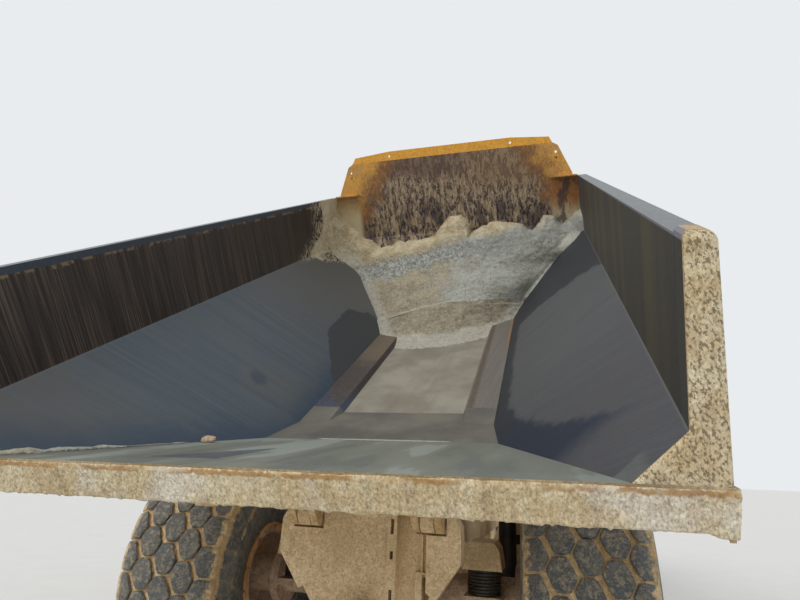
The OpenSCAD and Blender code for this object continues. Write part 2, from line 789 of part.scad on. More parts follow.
module cab_door() {
    y0 = door_y[0] + door_gap;
    y1 = door_y[1] - door_gap;
    color(yellow) placed() difference() {
        block([-cab_half, y0, door_z[0] + door_gap], [-cab_half + cab_t, y1, door_z[1] - door_gap]);
        block([-cab_half - 1, y0 + 90, sill + door_z[0]], [-cab_half + cab_t + 1, y1 - 90, door_z[1] - 90]);
    }
    color(yellow) placed() for (z = hinge_z) difference() {
        union() {
            bar_z(z + run_gap, z + 45, hinge_at, 11);
            block([hinge_at[0] - 11, hinge_at[1], z + run_gap], [hinge_at[0] + 5, hinge_at[1] + 60, z + 45]);
            block([hinge_at[0] + 5, y0 + 8, z + run_gap], [-cab_half, hinge_at[1] + 60, z + 45]);
        }
        bar_z(z, z + 50, hinge_at, 6 + run_gap);
    }
}

module door_glass() {
    mid = cab_t / 2 - glass_t / 2;
    color("#9fb4bd") placed()
        block([-cab_half + mid, door_y[0] + door_gap + 90, sill + door_z[0]],
              [-cab_half + mid + glass_t, door_y[1] - door_gap - 90, door_z[1] - 90]);
}

module seat() {
    floor_z = cab_low + cab_t;
    rear = cab_rear + 250;
    cushion_z = floor_z + 330;
    color(black) placed() {
        block([-180, rear + 130, floor_z], [180, rear + 490, cushion_z]);
        along_x([[rear + 80, cushion_z], [rear + 600, cushion_z], [rear + 630, cushion_z + 50],
                 [rear + 600, cushion_z + 130], [rear + 200, cushion_z + 120],
                 [rear + 130, cushion_z + 750], [rear + 30, cushion_z + 760], [rear, cushion_z + 710]],
                -260, 260);
    }
}

module controls() {
    floor_z = cab_low + cab_t;
    dash_half = 600;
    dash_y = [cab_front - cab_t - 260, cab_front - cab_t];
    wheel_r = 200;
    wheel_h = 290;
    console_y = [cab_rear + 400, cab_rear + 1000];
    color(dark_steel) placed() {
        block([-dash_half, dash_y[0], floor_z], [dash_half, dash_y[1], floor_z + 620]);
        translate([0, dash_y[0] + 10, floor_z + 560]) rotate([35, 0, 0]) {
            cylinder(h = wheel_h + 10, r = 30);
            translate([0, 0, wheel_h]) rotate_extrude($fn = 48) translate([wheel_r, 0]) circle(r = 18, $fn = 16);
            for (a = [0, 120, 240]) rotate([0, 0, a])
                block([0, -15, wheel_h - 8], [wheel_r, 15, wheel_h + 8]);
        }
        block([320, console_y[0], floor_z], [560, console_y[1], floor_z + 520]);
    }
}

module side_tank() {
    bevel = 40;
    along_y([[tank_in, tank_z[0] + bevel], [tank_in + bevel, tank_z[0]], [tank_out - bevel, tank_z[0]],
             [tank_out, tank_z[0] + bevel], [tank_out, tank_z[1] - bevel], [tank_out - bevel, tank_z[1]],
             [tank_in + bevel, tank_z[1]], [tank_in, tank_z[1] - bevel]], tank_y[0], tank_y[1]);
}

module fuel_tank() {
    color(dark_steel) placed() mirror([1, 0, 0]) side_tank();
}

module hydraulic_tank() {
    color(yellow) placed() side_tank();
}

module ladders() {
    rungs = 5;
    low = deck_z - 1455;
    t = 20;
    rung_t = 25;
    pitch = (deck_z - 60 - low) / rungs;
    color(dark_steel) placed() both_sides() {
        for (x = [ladder_x[0], ladder_x[1] - t])
            block([x, ladder_y[0], low], [x + t, ladder_y[1], deck_z - 100]);
        for (z = [low : pitch : low + (rungs - 1) * pitch])
            block([ladder_x[0] + t, ladder_y[0], z], [ladder_x[1] - t, ladder_y[1], z + rung_t]);
        block([ladder_x[0], ladder_y[0] - 120, front_high - 130],
              [ladder_x[0] + t, ladder_y[0] + 20, front_high - 30]);
    }
}

module mirrors() {
    arm_r = 16;
    arm_y = cab_front + 50;
    arm_z = cab_top + 30;
    mirror_x = cab_half + 480;
    mirror_z = [cab_top - 670, cab_top - 220];
    color(black) placed() both_sides() {
        bar_x(cab_half + 30, mirror_x, [arm_y, arm_z], arm_r);
        bar_z(mirror_z[0] - 30, arm_z + arm_r, [mirror_x, arm_y], arm_r);
        block([mirror_x - 90, arm_y + 20, mirror_z[0]], [mirror_x + 150, arm_y + 80, mirror_z[1]]);
        block([mirror_x - 20, arm_y, mirror_z[0] + 120], [mirror_x + 20, arm_y + 20, mirror_z[1] - 130]);
    }
}

module exhaust() {
    at = [cab_half + 230, cab_front + 210];
    muffler_top = deck_z + 925;
    color(dark_steel) placed() {
        bar_z(deck_z, muffler_top, at, 110);
        bar_z(muffler_top, cab_top + 150, at, 60);
    }
}

module headlamps() {
    x = 1010;
    z = front_high - 10;
    foot_z = front_high - 130;
    color("#cfd3d6") placed() both_sides() {
        bar_y(nose_y - 260, nose_y - 100, [x, z], 75);
        block([x - 80, nose_y - 240, foot_z], [x + 80, nose_y - 160, foot_z + 50]);
    }
}

// Hood and grille

hood_rear = cab_front + 40;
hood_front = nose_y - 85;
hood_low = front_high + 20;

// The solid form of the hood, made smaller on every side by one skin for its hollow
module hood_form(skin) {
    chamfer = 130;
    intersection() {
        along_x([[hood_rear + skin, hood_low], [hood_front - skin, hood_low],
                 [hood_front - skin, hood_nose - 260], [hood_front - 120 - skin, hood_nose - skin],
                 [hood_rear + skin, hood_top - skin]], -hood_half + skin, hood_half - skin);
        along_y([[-hood_half + skin, hood_low - 1], [hood_half - skin, hood_low - 1],
                 [hood_half - skin, hood_nose - chamfer - skin], [hood_half - chamfer - skin, hood_top + 1],
                 [-hood_half + chamfer + skin, hood_top + 1], [-hood_half + skin, hood_nose - chamfer - skin]],
                hood_rear, hood_front);
    }
}

grille_half = 520;
grille_z = [hood_low + 110, hood_nose - 300];

module hood() {
    color(yellow) placed() {
        difference() {
            hood_form(0);
            translate([0, -hood_t - 1, -1]) hood_form(hood_t);
            translate([0, 0, -1]) hood_form(hood_t);
            block([-grille_half, hood_front - hood_t - 1, grille_z[0]],
                  [grille_half, hood_front + 1, grille_z[1]]);
        }
        both_sides() difference() {
            union() {
                bar_x(hood_lug_x + 35, hood_lug_x + 65, hood_pivot, 34);
                block([hood_lug_x + 35, hood_pivot[0] - 10, hood_pivot[1]],
                      [hood_lug_x + 65, hood_front - hood_t, hood_low + 60]);
            }
            bar_x(hood_lug_x + 30, hood_lug_x + 80, hood_pivot, 14 + run_gap);
        }
    }
}

module grille() {
    bars = 9;
    pitch = (grille_z[1] - grille_z[0]) / bars;
    y0 = hood_front - hood_t;
    color(black) placed() {
        for (i = [0 : bars - 1])
            block([-grille_half, y0, grille_z[0] + (i + 0.5) * pitch - 12],
                  [grille_half, hood_front - 5, grille_z[0] + (i + 0.5) * pitch + 12]);
        for (x = [-grille_half, -15, grille_half - 30])
            block([x, y0, grille_z[0]], [x + 30, hood_front - 5, grille_z[1]]);
    }
}

// Load body, drawn level with v forwards from the lip's rear face and w up from the valley floor

side_slope = (break_rise - shelf_rise) / (break_half - shelf_out);
side_drop = side_t * sqrt(1 + side_slope * side_slope);
crease_v = 1455;
crease_w = 125;
valley_rear = 2140;
tail_slope = (lip_rise - crease_w) / crease_v;
post_t = 120;
lip_t = 160;
foot_v = bed_len - 600;
knee_v = bed_len - 200;
knee_w = 600;
brow_w = 1000;
wall_t = 24;

riser = 30;
shelf_fall = 6;
// Where the shelves run out on the plate that slopes up to the tail
shelf_v = valley_rear - shelf_rise * (valley_rear - crease_v) / crease_w;
shelf_in = valley_half + riser + 8;
beam_in = 330;
beam_out = 430;

// Height of the shelf plate's underside at a distance from the middle plane
function shelf_under(x) = shelf_rise - floor_t - shelf_fall * (shelf_out - x) / (shelf_out - shelf_in);

// The body's own level frame, tipped about its pivot
module tipped() {
    placed() translate([0, pivot_y, pivot_z]) rotate([tip_rest, 0, 0])
        translate([0, -lip_back, floor_rise]) children();
}

// Outside half width of a side plate at a height below its break
function outside(w) = shelf_out + (w - shelf_rise + side_drop) / side_slope;

// Everything inside the outer faces of the lower side plates
module within_outer() {
    top = rail_rise + 500;
    along_y([[-outside(top), top], [-outside(-200), -200], [outside(-200), -200], [outside(top), top]],
            -1, bed_len + 200);
}

// The side of the body seen from the side, above the floor's tail plates
side_view = [[0, lip_rise], [crease_v, crease_w], [valley_rear, 0], [valley_rear, -80],
             [foot_v + wall_t + 40, -80], [foot_v + wall_t + 40, 0], [knee_v + wall_t + 10, knee_w],
             [bed_len + wall_t, brow_w], [bed_len + wall_t, rail_rise], [0, rail_rise]];

module bed_floor() {
    t = floor_t;
    half = [[valley_half, 0], [valley_half + riser, shelf_rise - shelf_fall], [shelf_out, shelf_rise],
            [shelf_out, shelf_rise - t], [shelf_in, shelf_rise - shelf_fall - t],
            [valley_half + 12, -t]];
    other = [for (i = [len(half) - 1 : -1 : 0]) [-half[i][0], half[i][1]]];
    color(worn_steel) tipped() {
        along_y(concat(half, other), shelf_v, foot_v + wall_t + 40);
        intersection() {
            along_x([[valley_rear, 0], [crease_v, crease_w], [lip_t, lip_rise - tail_slope * lip_t],
                     [lip_t, lip_rise - tail_slope * lip_t - t], [crease_v, crease_w - t],
                     [valley_rear, -t]], -lip_half, lip_half);
            within_outer();
        }
    }
}

// One side: the sloping lower plate, the upper wall and the box of the top rail
module bed_side() {
    box_low = rail_rise - 100;
    lean = (break_half - rail_half) / (rail_rise - break_rise);
    wall_x = break_half + 20;
    outer_w = shelf_rise - side_drop + side_slope * (wall_x - shelf_out);
    outline = [[shelf_out, shelf_rise], [break_half, break_rise], [rail_half, rail_rise],
               [post_out, rail_rise], [post_out, box_low], [wall_x - lean * (box_low - break_rise), box_low],
               [wall_x, outer_w], [shelf_out, shelf_rise - side_drop]];
    tipped() intersection() {
        along_y(outline, post_t, bed_len + wall_t + 60);
        along_x(side_view, 0, lip_half);
    }
}

module bed_side_right() {
    color(worn_steel) bed_side();
}

module bed_side_left() {
    color(worn_steel) mirror([1, 0, 0]) bed_side();
}

// The rear lip and the two posts that stand on it, in one caked face
module bed_tail() {
    low = lip_rise - lip_drop;
    floor_at_post = lip_rise - tail_slope * post_t;
    inner_at_post = shelf_out + (floor_at_post - shelf_rise) / side_slope;
    r = 42;
    // How far the lip stands out behind the posts
    proud = 12;
    color(mud) tipped() {
        along_x([[0, low], [lip_t, low], [lip_t, lip_rise - tail_slope * lip_t], [0, lip_rise]],
                -lip_half, lip_half);
        both_sides() translate([0, post_t, 0]) rotate([90, 0, 0]) linear_extrude(post_t - proud) {
            polygon([[inner_at_post, floor_at_post], [break_half, break_rise], [rail_half, post_rise - 12],
                     [rail_half + 12, post_rise], [post_out - r, post_rise], [post_out, post_rise - r],
                     [lip_half - 10, lip_rise], [lip_half - 10, low], [inner_at_post, low]]);
            translate([post_out - r, post_rise - r]) circle(r = r);
        }
        // A small ear that hangs from the lip's end
        both_sides() block([lip_half - 18, 0, low - 30], [lip_half, 60, low]);
    }
}

module bed_headboard() {
    inside = [[-rail_half, rail_rise], [-break_half, break_rise], [-shelf_out, shelf_rise],
              [-valley_half - riser, shelf_rise - shelf_fall], [-valley_half, 0], [valley_half, 0],
              [valley_half + riser, shelf_rise - shelf_fall], [shelf_out, shelf_rise], [break_half, break_rise],
              [rail_half, rail_rise]];
    color(worn_steel) tipped() {
        intersection() {
            along_x([[foot_v, 0], [knee_v, knee_w], [bed_len, brow_w], [bed_len, rail_rise],
                     [bed_len + wall_t, rail_rise], [bed_len + wall_t, brow_w],
                     [knee_v + wall_t + 10, knee_w], [foot_v + wall_t + 40, 0]], -lip_half, lip_half);
            along_y(inside, foot_v - 1, bed_len + 100);
        }
        // Stiffeners down the front face
        for (x = [-900, -300, 300, 900])
            block([x - 40, bed_len + wall_t, brow_w + 60], [x + 40, bed_len + wall_t + 60, rail_rise]);
    }
}

hole_x = 750;
hole_w = 2000;
hole_r = 14;

module bed_guard() {
    fold_w = 1950;
    t = 20;
    color(yellow) tipped() {
        difference() {
            along_y([[-1450, rail_rise], [1450, rail_rise], [1450, rail_rise + 30], [1295, 1915],
                     [1235, fold_w], [-1235, fold_w], [-1295, 1915], [-1450, rail_rise + 30]],
                    bed_len, bed_len + t);
            for (s = [-1, 1], w = [1840, 1775])
                bar_y(bed_len - 1, bed_len + t + 1, [s * 1270, w], hole_r);
        }
        // The folded lip that leans over the cab, with two bolt holes
        difference() {
            intersection() {
                along_x([[bed_len, fold_w], [bed_len + 45, guard_rise], [bed_len + 45 + t, guard_rise],
                         [bed_len + t, fold_w]], -1300, 1300);
                along_y([[-1235, fold_w], [-1200, guard_rise - 40], [-hole_x, guard_rise],
                         [hole_x, guard_rise], [1200, guard_rise - 40], [1235, fold_w]],
                        bed_len - 1, bed_len + 200);
            }
            for (s = [-1, 1]) bar_y(bed_len - 1, bed_len + 200, [s * hole_x, hole_w], hole_r);
        }
        // Small ledges over the top rails
        both_sides() block([1200, bed_len - 60, rail_rise], [rail_half - 6, bed_len, rail_rise + 14]);
        both_sides() block([1200, bed_len + t, rail_rise], [1290, bed_len + t + 90, 1800]);
    }
}

module bed_frame() {
    pivot_v = lip_back;
    pivot_w = -floor_rise;
    beam_low = 40 - floor_rise;
    beam_end = foot_v - 50;
    beam = [[beam_end, beam_low + 60], [beam_end, -floor_t], [shelf_v, -floor_t],
            [shelf_v, shelf_rise - floor_t], [crease_v, crease_w - floor_t],
            [lip_t + 40, lip_rise - tail_slope * (lip_t + 40) - floor_t],
            [lip_t + 40, lip_rise - 320], [pivot_v - 130, pivot_w + 200], [pivot_v - 60, pivot_w + 110],
            [pivot_v + 60, pivot_w + 110], [pivot_v + 160, beam_low], [beam_end - 200, beam_low]];
    ears = [
        // inner face, outer face
        [ear_in - 50, ear_in - 6],
        [ear_out + 6, ear_out + 50]
    ];
    color(dark_steel) tipped() {
        difference() {
            both_sides() {
                along_x(beam, beam_in, beam_out);
                for (e = ears) {
                    bar_x(e[0], e[1], [pivot_v, pivot_w], ear_r);
                    along_x([[pivot_v - ear_r, pivot_w], [pivot_v + ear_r, pivot_w],
                             [pivot_v + 160, pivot_w + 115], [pivot_v + 60, pivot_w + 240],
                             [pivot_v - 130, pivot_w + 240]], e[0], e[1]);
                    along_x([[pivot_v + 60, pivot_w + 112], [pivot_v + 60, pivot_w + 240],
                             [pivot_v - 130, pivot_w + 240], [pivot_v - 100, pivot_w + 160]],
                            min(e[0], beam_in), max(e[1], beam_out));
                }
                bar_x(ear_in - 50, ear_out + 50, [pivot_v, pivot_w], pin_r);
                hoist_anchor(pivot_v + hoist_pin_v, pivot_w + hoist_pin_w);
            }
            both_sides() for (x = [hoist_x - anchor_half - clevis_t, hoist_x + anchor_half])
                bar_x(x - 1, x + clevis_t + 1, [pivot_v + hoist_pin_v, pivot_w + hoist_pin_w], hoist_pin_r);
        }
        // Cross members between the beams
        for (v = [2300, 3100, 3900]) block([-beam_in, v, beam_low + 40], [beam_in, v + 90, -floor_t]);
    }
}

// The ears over a hoist rod's eye, hung from the body's side and from its beam
module hoist_anchor(v, w) {
    r = 72;
    inner = hoist_x - anchor_half - clevis_t;
    outer = hoist_x + anchor_half;
    bar_x(inner, inner + clevis_t, [v, w], r);
    along_x([[v - r, w], [v + r, w], [v + r + 30, shelf_under(inner)], [v - r - 30, shelf_under(inner)]],
            inner, inner + clevis_t);
    block([beam_out, v - r - 120, w + 20], [inner, v + r + 60, w + 60]);
    difference() {
        union() {
            bar_x(outer, outer + clevis_t, [v, w], r);
            along_x([[v - r, w], [v + r, w], [v + r + 30, break_rise], [v - r - 30, break_rise]],
                    outer, outer + clevis_t);
        }
        within_outer();
    }
}

// Hoist cylinders, each standing between its lower pin and its pin on the load body

hoist_top_y = pivot_y + hoist_pin_v * cos(tip_rest) - hoist_pin_w * sin(tip_rest);
hoist_top_z = pivot_z + hoist_pin_v * sin(tip_rest) + hoist_pin_w * cos(tip_rest);
hoist_len = norm([hoist_top_y - hoist_y, hoist_top_z - hoist_z]);
hoist_angle = atan2(hoist_top_z - hoist_z, hoist_top_y - hoist_y);
// How much longer a hoist cylinder is at rest than when the body lies down
hoist_out = 627;
stage_out = hoist_out / 2;
barrel_len = 870;
barrel_base = 82;

// A cylinder's own frame: its lower pin at the origin and its length along +Z
module at_hoist() {
    placed() both_sides() translate([hoist_x, hoist_y, hoist_z]) rotate([hoist_angle - 90, 0, 0]) children();
}

module eye(r, half, bore) {
    rotate([0, 90, 0]) difference() {
        translate([0, 0, -half]) cylinder(h = 2 * half, r = r);
        if (bore > 0) translate([0, 0, -half - 1]) cylinder(h = 2 * half + 2, r = bore);
    }
}

module hoist_barrels() {
    inside = sleeve_r + run_gap;
    color(dark_steel) at_hoist() {
        difference() {
            union() {
                eye(barrel_r + 2, hoist_eye_half, 0);
                translate([0, 0, 20]) cylinder(h = barrel_base, r = hoist_eye_half - 4);
                translate([0, 0, barrel_base]) cylinder(h = barrel_len - barrel_base, r = barrel_r - 5);
                translate([0, 0, barrel_len - 60]) cylinder(h = 60, r = barrel_r);
            }
            translate([0, 0, barrel_base + 23]) cylinder(h = barrel_len, r = inside);
        }
        eye(hoist_pin_r, hoist_eye_half + clevis_gap + clevis_t, 0);
    }
}

module hoist_sleeves() {
    low = barrel_base + 28 + stage_out;
    high = barrel_len + 8 + stage_out;
    color(worn_steel) at_hoist() difference() {
        union() {
            translate([0, 0, low]) cylinder(h = high - low, r = sleeve_r);
            translate([0, 0, high]) cylinder(h = 22, r = sleeve_r + 6);
        }
        translate([0, 0, low + 10]) cylinder(h = barrel_len, r = hoist_rod_r + run_gap);
    }
}

module hoist_rods() {
    low = barrel_base + 43 + 2 * stage_out;
    color("silver") at_hoist() {
        translate([0, 0, low]) cylinder(h = hoist_len - low, r = hoist_rod_r);
        translate([0, 0, hoist_len]) {
            eye(70, hoist_eye_half, 0);
            eye(hoist_pin_r, anchor_half - 2, 0);
        }
    }
}

// Steering cylinders

steer_vec = [arm_x - steer_x, -arm_back - steer_ahead];
steer_len = norm(steer_vec);
steer_stroke = 233;
steer_barrel_len = steer_len - steer_stroke - 90;
// How far from its pin a barrel's eye is flat, to pass between the plates of its mount
eye_flat = 72;

// A steering cylinder's own frame: its pin on the tractor at the origin, its length along +Y
module at_steer() {
    placed() translate([steer_x, hitch_y + steer_ahead, steer_z])
        rotate([0, 0, atan2(steer_vec[1], steer_vec[0]) - 90]) children();
}

module steer_barrel() {
    at_steer() difference() {
        union() {
            translate([0, 0, -30]) cylinder(h = 60, r = 50);
            rotate([-90, 0, 0]) cylinder(h = steer_barrel_len, r = steer_barrel_r);
        }
        translate([0, 0, -60]) cylinder(h = 120, r = 24 + run_gap);
        translate([0, 70, 0]) rotate([-90, 0, 0]) cylinder(h = steer_len, r = steer_rod_r + run_gap);
        for (z = [[-90, -30], [30, 90]])
            block([-eye_flat, -eye_flat, z[0]], [eye_flat, eye_flat, z[1]]);
    }
}

module steer_rod() {
    back = steer_barrel_len - steer_stroke - 60;
    at_steer() {
        translate([0, back, 0]) rotate([-90, 0, 0]) cylinder(h = steer_len - back, r = steer_rod_r);
        translate([0, steer_len, -30]) cylinder(h = 60, r = 50);
    }
}

module steer_barrel_right() {
    color(dark_steel) steer_barrel();
}

module steer_barrel_left() {
    color(dark_steel) mirror([1, 0, 0]) steer_barrel();
}

module steer_rod_right() {
    color("silver") steer_rod();
}

module steer_rod_left() {
    color("silver") mirror([1, 0, 0]) steer_rod();
}

rear_frame();
axle_middle();
axle_rear();
walking_beams();
rubber_springs();
drive_shafts();
hitch();
front_frame();
axle_front();
front_struts();
engine();
bumper();
fenders();
cab_shell();
cab_roof();
cab_windows();
seat();
controls();
fuel_tank();
hydraulic_tank();
ladders();
mirrors();
exhaust();
headlamps();
hood();
grille();
cab_door();
door_glass();
bed_floor();
bed_side_left();
bed_side_right();
bed_tail();
bed_headboard();
bed_guard();
bed_frame();
hoist_barrels();
hoist_sleeves();
hoist_rods();
steer_barrel_left();
steer_barrel_right();
steer_rod_left();
steer_rod_right();
for (i = [0 : len(wheels) - 1]) wheel_node(i);
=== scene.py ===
"""Looks of an articulated dump truck seen from behind, with its load body raised.

Lengths are in metres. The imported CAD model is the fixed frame; the pieces made here are
the caked mud, the tyres, the rims, the seat and the small things that stay out of the CAD.
"""

import math

import bpy
import numpy as np
from mathutils import Matrix, Vector


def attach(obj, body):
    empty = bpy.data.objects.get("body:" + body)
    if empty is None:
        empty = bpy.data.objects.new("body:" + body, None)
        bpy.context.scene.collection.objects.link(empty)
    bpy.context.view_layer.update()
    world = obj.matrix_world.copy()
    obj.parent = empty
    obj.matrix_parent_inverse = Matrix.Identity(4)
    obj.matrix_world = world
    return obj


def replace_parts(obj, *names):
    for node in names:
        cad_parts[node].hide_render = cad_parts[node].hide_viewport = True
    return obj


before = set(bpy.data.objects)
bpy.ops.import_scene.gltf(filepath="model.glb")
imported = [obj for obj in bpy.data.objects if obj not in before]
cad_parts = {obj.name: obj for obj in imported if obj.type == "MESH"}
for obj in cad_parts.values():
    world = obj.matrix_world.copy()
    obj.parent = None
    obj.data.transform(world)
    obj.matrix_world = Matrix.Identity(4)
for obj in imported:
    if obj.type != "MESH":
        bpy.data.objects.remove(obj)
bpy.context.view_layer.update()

# Places of the CAD model that the pieces made here share with it

TIP = math.radians(31)
REAR_AXLE_Y = -3.319286
PIVOT_Y = REAR_AXLE_Y - 0.75
PIVOT_Z = 1.45
LIP_BACK = 1.158
FLOOR_RISE = 0.214
SIDE_FOOT = (0.728, 0.051)
SIDE_BREAK = (1.533, 0.957)
RAIL = (1.506, 1.55)
SIDE_SLOPE = (SIDE_BREAK[1] - SIDE_FOOT[1]) / (SIDE_BREAK[0] - SIDE_FOOT[0])
VALLEY_HALF = 0.475
CREASE = (1.455, 0.125)
LIP_RISE = 0.776
LIP_DROP = 0.163
LIP_HALF = 1.67
TYRE_R = 0.935
TRACK_HALF = 1.28
WHEELS = {"rear": REAR_AXLE_Y, "middle": 1.95 + REAR_AXLE_Y, "front": 6.4 + REAR_AXLE_Y}
CAB_HALF = 0.85
CAB_REAR_Y, CAB_MIDDLE_Y, CAB_FRONT_Y = 1.6307, 2.3307, 3.0307
SEAT_REAR = 5.2 + REAR_AXLE_Y
SEAT_TOP = 2.28
HEADLAMP_Y = 9.2 + REAR_AXLE_Y

SIDES = (("left", -1), ("right", 1))


# Shapes: arrays of points, and the faces that join them


def value_noise(x, y, seed):
    """Smooth noise from 0 to 1: hashed values at whole numbers, blended by 3t^2 - 2t^3 both ways."""
    x, y = np.broadcast_arrays(np.asarray(x, float), np.asarray(y, float))
    cell_x, cell_y = np.floor(x), np.floor(y)
    part_x, part_y = x - cell_x, y - cell_y
    part_x = part_x * part_x * (3 - 2 * part_x)
    part_y = part_y * part_y * (3 - 2 * part_y)

    def corner(step_x, step_y):
        wave = np.sin((cell_x + step_x) * 127.1 + (cell_y + step_y) * 311.7 + seed * 74.7) * 43758.5453
        return wave - np.floor(wave)

    low = corner(0, 0) * (1 - part_x) + corner(1, 0) * part_x
    high = corner(0, 1) * (1 - part_x) + corner(1, 1) * part_x
    return low * (1 - part_y) + high * part_y


def fractal(x, y, seed, octaves=4):
    """Noise from -1 to 1: layers of value noise, each twice as fine and half as strong as the last."""
    total, strength = 0.0, 0.0
    for i in range(octaves):
        total = total + (value_noise(x * 2**i, y * 2**i, seed + i) * 2 - 1) * 0.5**i
        strength += 0.5**i
    return total / strength


def rise(value, low, high):
    """0 below low, 1 above high, and 3t^2 - 2t^3 between."""
    t = np.clip((value - low) / (high - low), 0, 1)
    return t * t * (3 - 2 * t)


def in_body(x, v, w):
    """Truck coordinates of a place in the load body: forwards v and up w are turned by the tip angle."""
    x, v, w = np.broadcast_arrays(x, v, w)
    along, up = v - LIP_BACK, w + FLOOR_RISE
    return np.stack([x * 1.0, PIVOT_Y + along * math.cos(TIP) - up * math.sin(TIP),
                     PIVOT_Z + along * math.sin(TIP) + up * math.cos(TIP)], -1)


def grid(points, wrap_u=False, wrap_v=False):
    """A surface from rows and columns of points: each cell is a quad; a wrapped side joins its start."""
    rows, cols = points.shape[:2]
    u = np.arange(rows if wrap_u else rows - 1)[:, None]
    v = np.arange(cols if wrap_v else cols - 1)[None, :]
    u2, v2 = (u + 1) % rows, (v + 1) % cols
    quads = np.stack([u * cols + v, u * cols + v2, u2 * cols + v2, u2 * cols + v], -1)
    return points.reshape(-1, 3), [quads.reshape(-1, 4)]


def capped(points):
    """A tube of closed rings, one a row, whose two ends are each closed by one flat face."""
    flat, faces = grid(points, wrap_v=True)
    rows, cols = points.shape[:2]
    ring = np.arange(cols)
    return flat, faces + [ring[None, ::-1].copy(), ((rows - 1) * cols + ring)[None, :].copy()]


def slab(top, under):
    """A closed skin: the top surface, the surface under it turned over, and a wall round their edge."""
    rows, cols = top.shape[:2]
    count = rows * cols
    flat_top, (quads,) = grid(top)
    index = np.arange(count).reshape(rows, cols)
    edge = np.concatenate([index[0, :-1], index[:-1, -1], index[-1, :0:-1], index[:0:-1, 0]])
    after = np.roll(edge, -1)
    wall = np.stack([edge, edge + count, after + count, after], -1)
    return np.concatenate([flat_top, under.reshape(-1, 3)]), [quads, quads[:, ::-1] + count, wall]


def joined(*shapes):
    """Several surfaces as one list of points and faces."""
    points, faces, start = [], [], 0
    for flat, groups in shapes:
        points.append(flat)
        faces += [group + start for group in groups]
        start += len(flat)
    return np.concatenate(points), faces


def moved(shape, matrix=None, shift=(0, 0, 0)):
    """A surface turned by a 3x3 matrix and shifted; a matrix that mirrors turns the faces over as well."""
    points, faces = shape
    if matrix is not None:
        matrix = np.asarray(matrix, float)
        points = points @ matrix.T
        if np.linalg.det(matrix) < 0:
            faces = [group[:, ::-1] for group in faces]
    return points + np.asarray(shift, float), faces


def make_piece(name, shape, material, body, smooth=40):
    """A mesh object from a surface, shaded smooth where faces meet at less than smooth degrees."""
    points, groups = shape
    mesh = bpy.data.meshes.new(name)
    mesh.vertices.add(len(points))
    mesh.vertices.foreach_set("co", np.ascontiguousarray(points, np.float32).ravel())
    corners = np.concatenate([group.ravel() for group in groups]).astype(np.int32)
    sizes = np.concatenate([np.full(len(group), group.shape[1]) for group in groups])
    mesh.loops.add(len(corners))
    mesh.loops.foreach_set("vertex_index", corners)
    mesh.polygons.add(len(sizes))
    mesh.polygons.foreach_set("loop_start", (np.cumsum(sizes) - sizes).astype(np.int32))
    mesh.update(calc_edges=True)
    mesh.validate()
    piece = bpy.data.objects.new(name, mesh)
    bpy.context.scene.collection.objects.link(piece)
    mesh.materials.append(material)
    if smooth:
        mesh.shade_smooth()
        mesh.set_sharp_from_angle(angle=math.radians(smooth))
    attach(piece, body)
    return piece


# Shader nodes


def tone(code):
    """The linear colour of a six-digit screen colour."""
    parts = [int(code[i:i + 2], 16) / 255 for i in (0, 2, 4)]
    return tuple(c / 12.92 if c <= 0.04045 else ((c + 0.055) / 1.055) ** 2.4 for c in parts) + (1.0,)


class Value:
    """An output of a node, with its tree. Arithmetic on it adds Math nodes to that tree."""

    def __init__(self, tree, socket):
        self.tree, self.socket = tree, socket

    def __add__(self, other):
        return calc("ADD", self, other)

    def __radd__(self, other):
        return calc("ADD", other, self)

    def __sub__(self, other):
        return calc("SUBTRACT", self, other)

    def __rsub__(self, other):
        return calc("SUBTRACT", other, self)

    def __mul__(self, other):
        return calc("MULTIPLY", self, other)

    def __abs__(self):
        return calc("ABSOLUTE", self)


def tree_of(*values):
    """The tree of the first of these that is a node's output."""
    return next(value.tree for value in values if isinstance(value, Value))


def feed(socket, value):
    """Links a node's output to a socket, or sets a constant there; a text is the code of a colour."""
    if isinstance(value, Value):
        value.tree.links.new(value.socket, socket)
    else:
        socket.default_value = tone(value) if isinstance(value, str) else value


def outputs_of(tree, node):
    """A node's outputs, by their numbers and by their names."""
    values = [Value(tree, socket) for socket in node.outputs]
    return dict(enumerate(values)) | {value.socket.name: value for value in values}


def put(tree, kind, inputs=None, **settings):
    """Adds a node with its options, feeds the named or numbered inputs, and gives its outputs."""
    made = tree.nodes.new(kind)
    for key, value in settings.items():
        setattr(made, key, value)
    for key, value in (inputs or {}).items():
        feed(made.inputs[key], value)
    return outputs_of(tree, made)


def calc(operation, first, second=0.0):
    return put(tree_of(first, second), "ShaderNodeMath", {0: first, 1: second}, operation=operation)[0]


def larger(first, second):
    return calc("MAXIMUM", first, second)


def smaller(first, second):
    return calc("MINIMUM", first, second)


def vector_math(operation, first, second):
    made = put(first.tree, "ShaderNodeVectorMath", {0: first, 1: second}, operation=operation)
    return made["Value"] if operation in ("DOT_PRODUCT", "DISTANCE") else made[0]


def moved_on(place):
    """The same coordinates moved on, so that a second set of grains doesn't lie on the first."""
    return vector_math("ADD", place, (3.3, 7.7, 1.9))


def band(value, low, high):
    """0 where the value is at low and 1 where it is at high, smoothly between."""
    return put(value.tree, "ShaderNodeMapRange", {"Value": value, "From Min": low, "From Max": high},
               interpolation_type="SMOOTHSTEP", clamp=True)[0]


def mixed(share, first, second):
    """The first colour where the share is 0, and the second where it is 1."""
    return put(tree_of(share, first, second), "ShaderNodeMix", {0: share, 6: first, 7: second},
               data_type="RGBA")[2]


def shaded(color, **changes):
    """A colour with changes of its Hue, Saturation or Value."""
    return put(color.tree, "ShaderNodeHueSaturation", {"Color": color, **changes})[0]


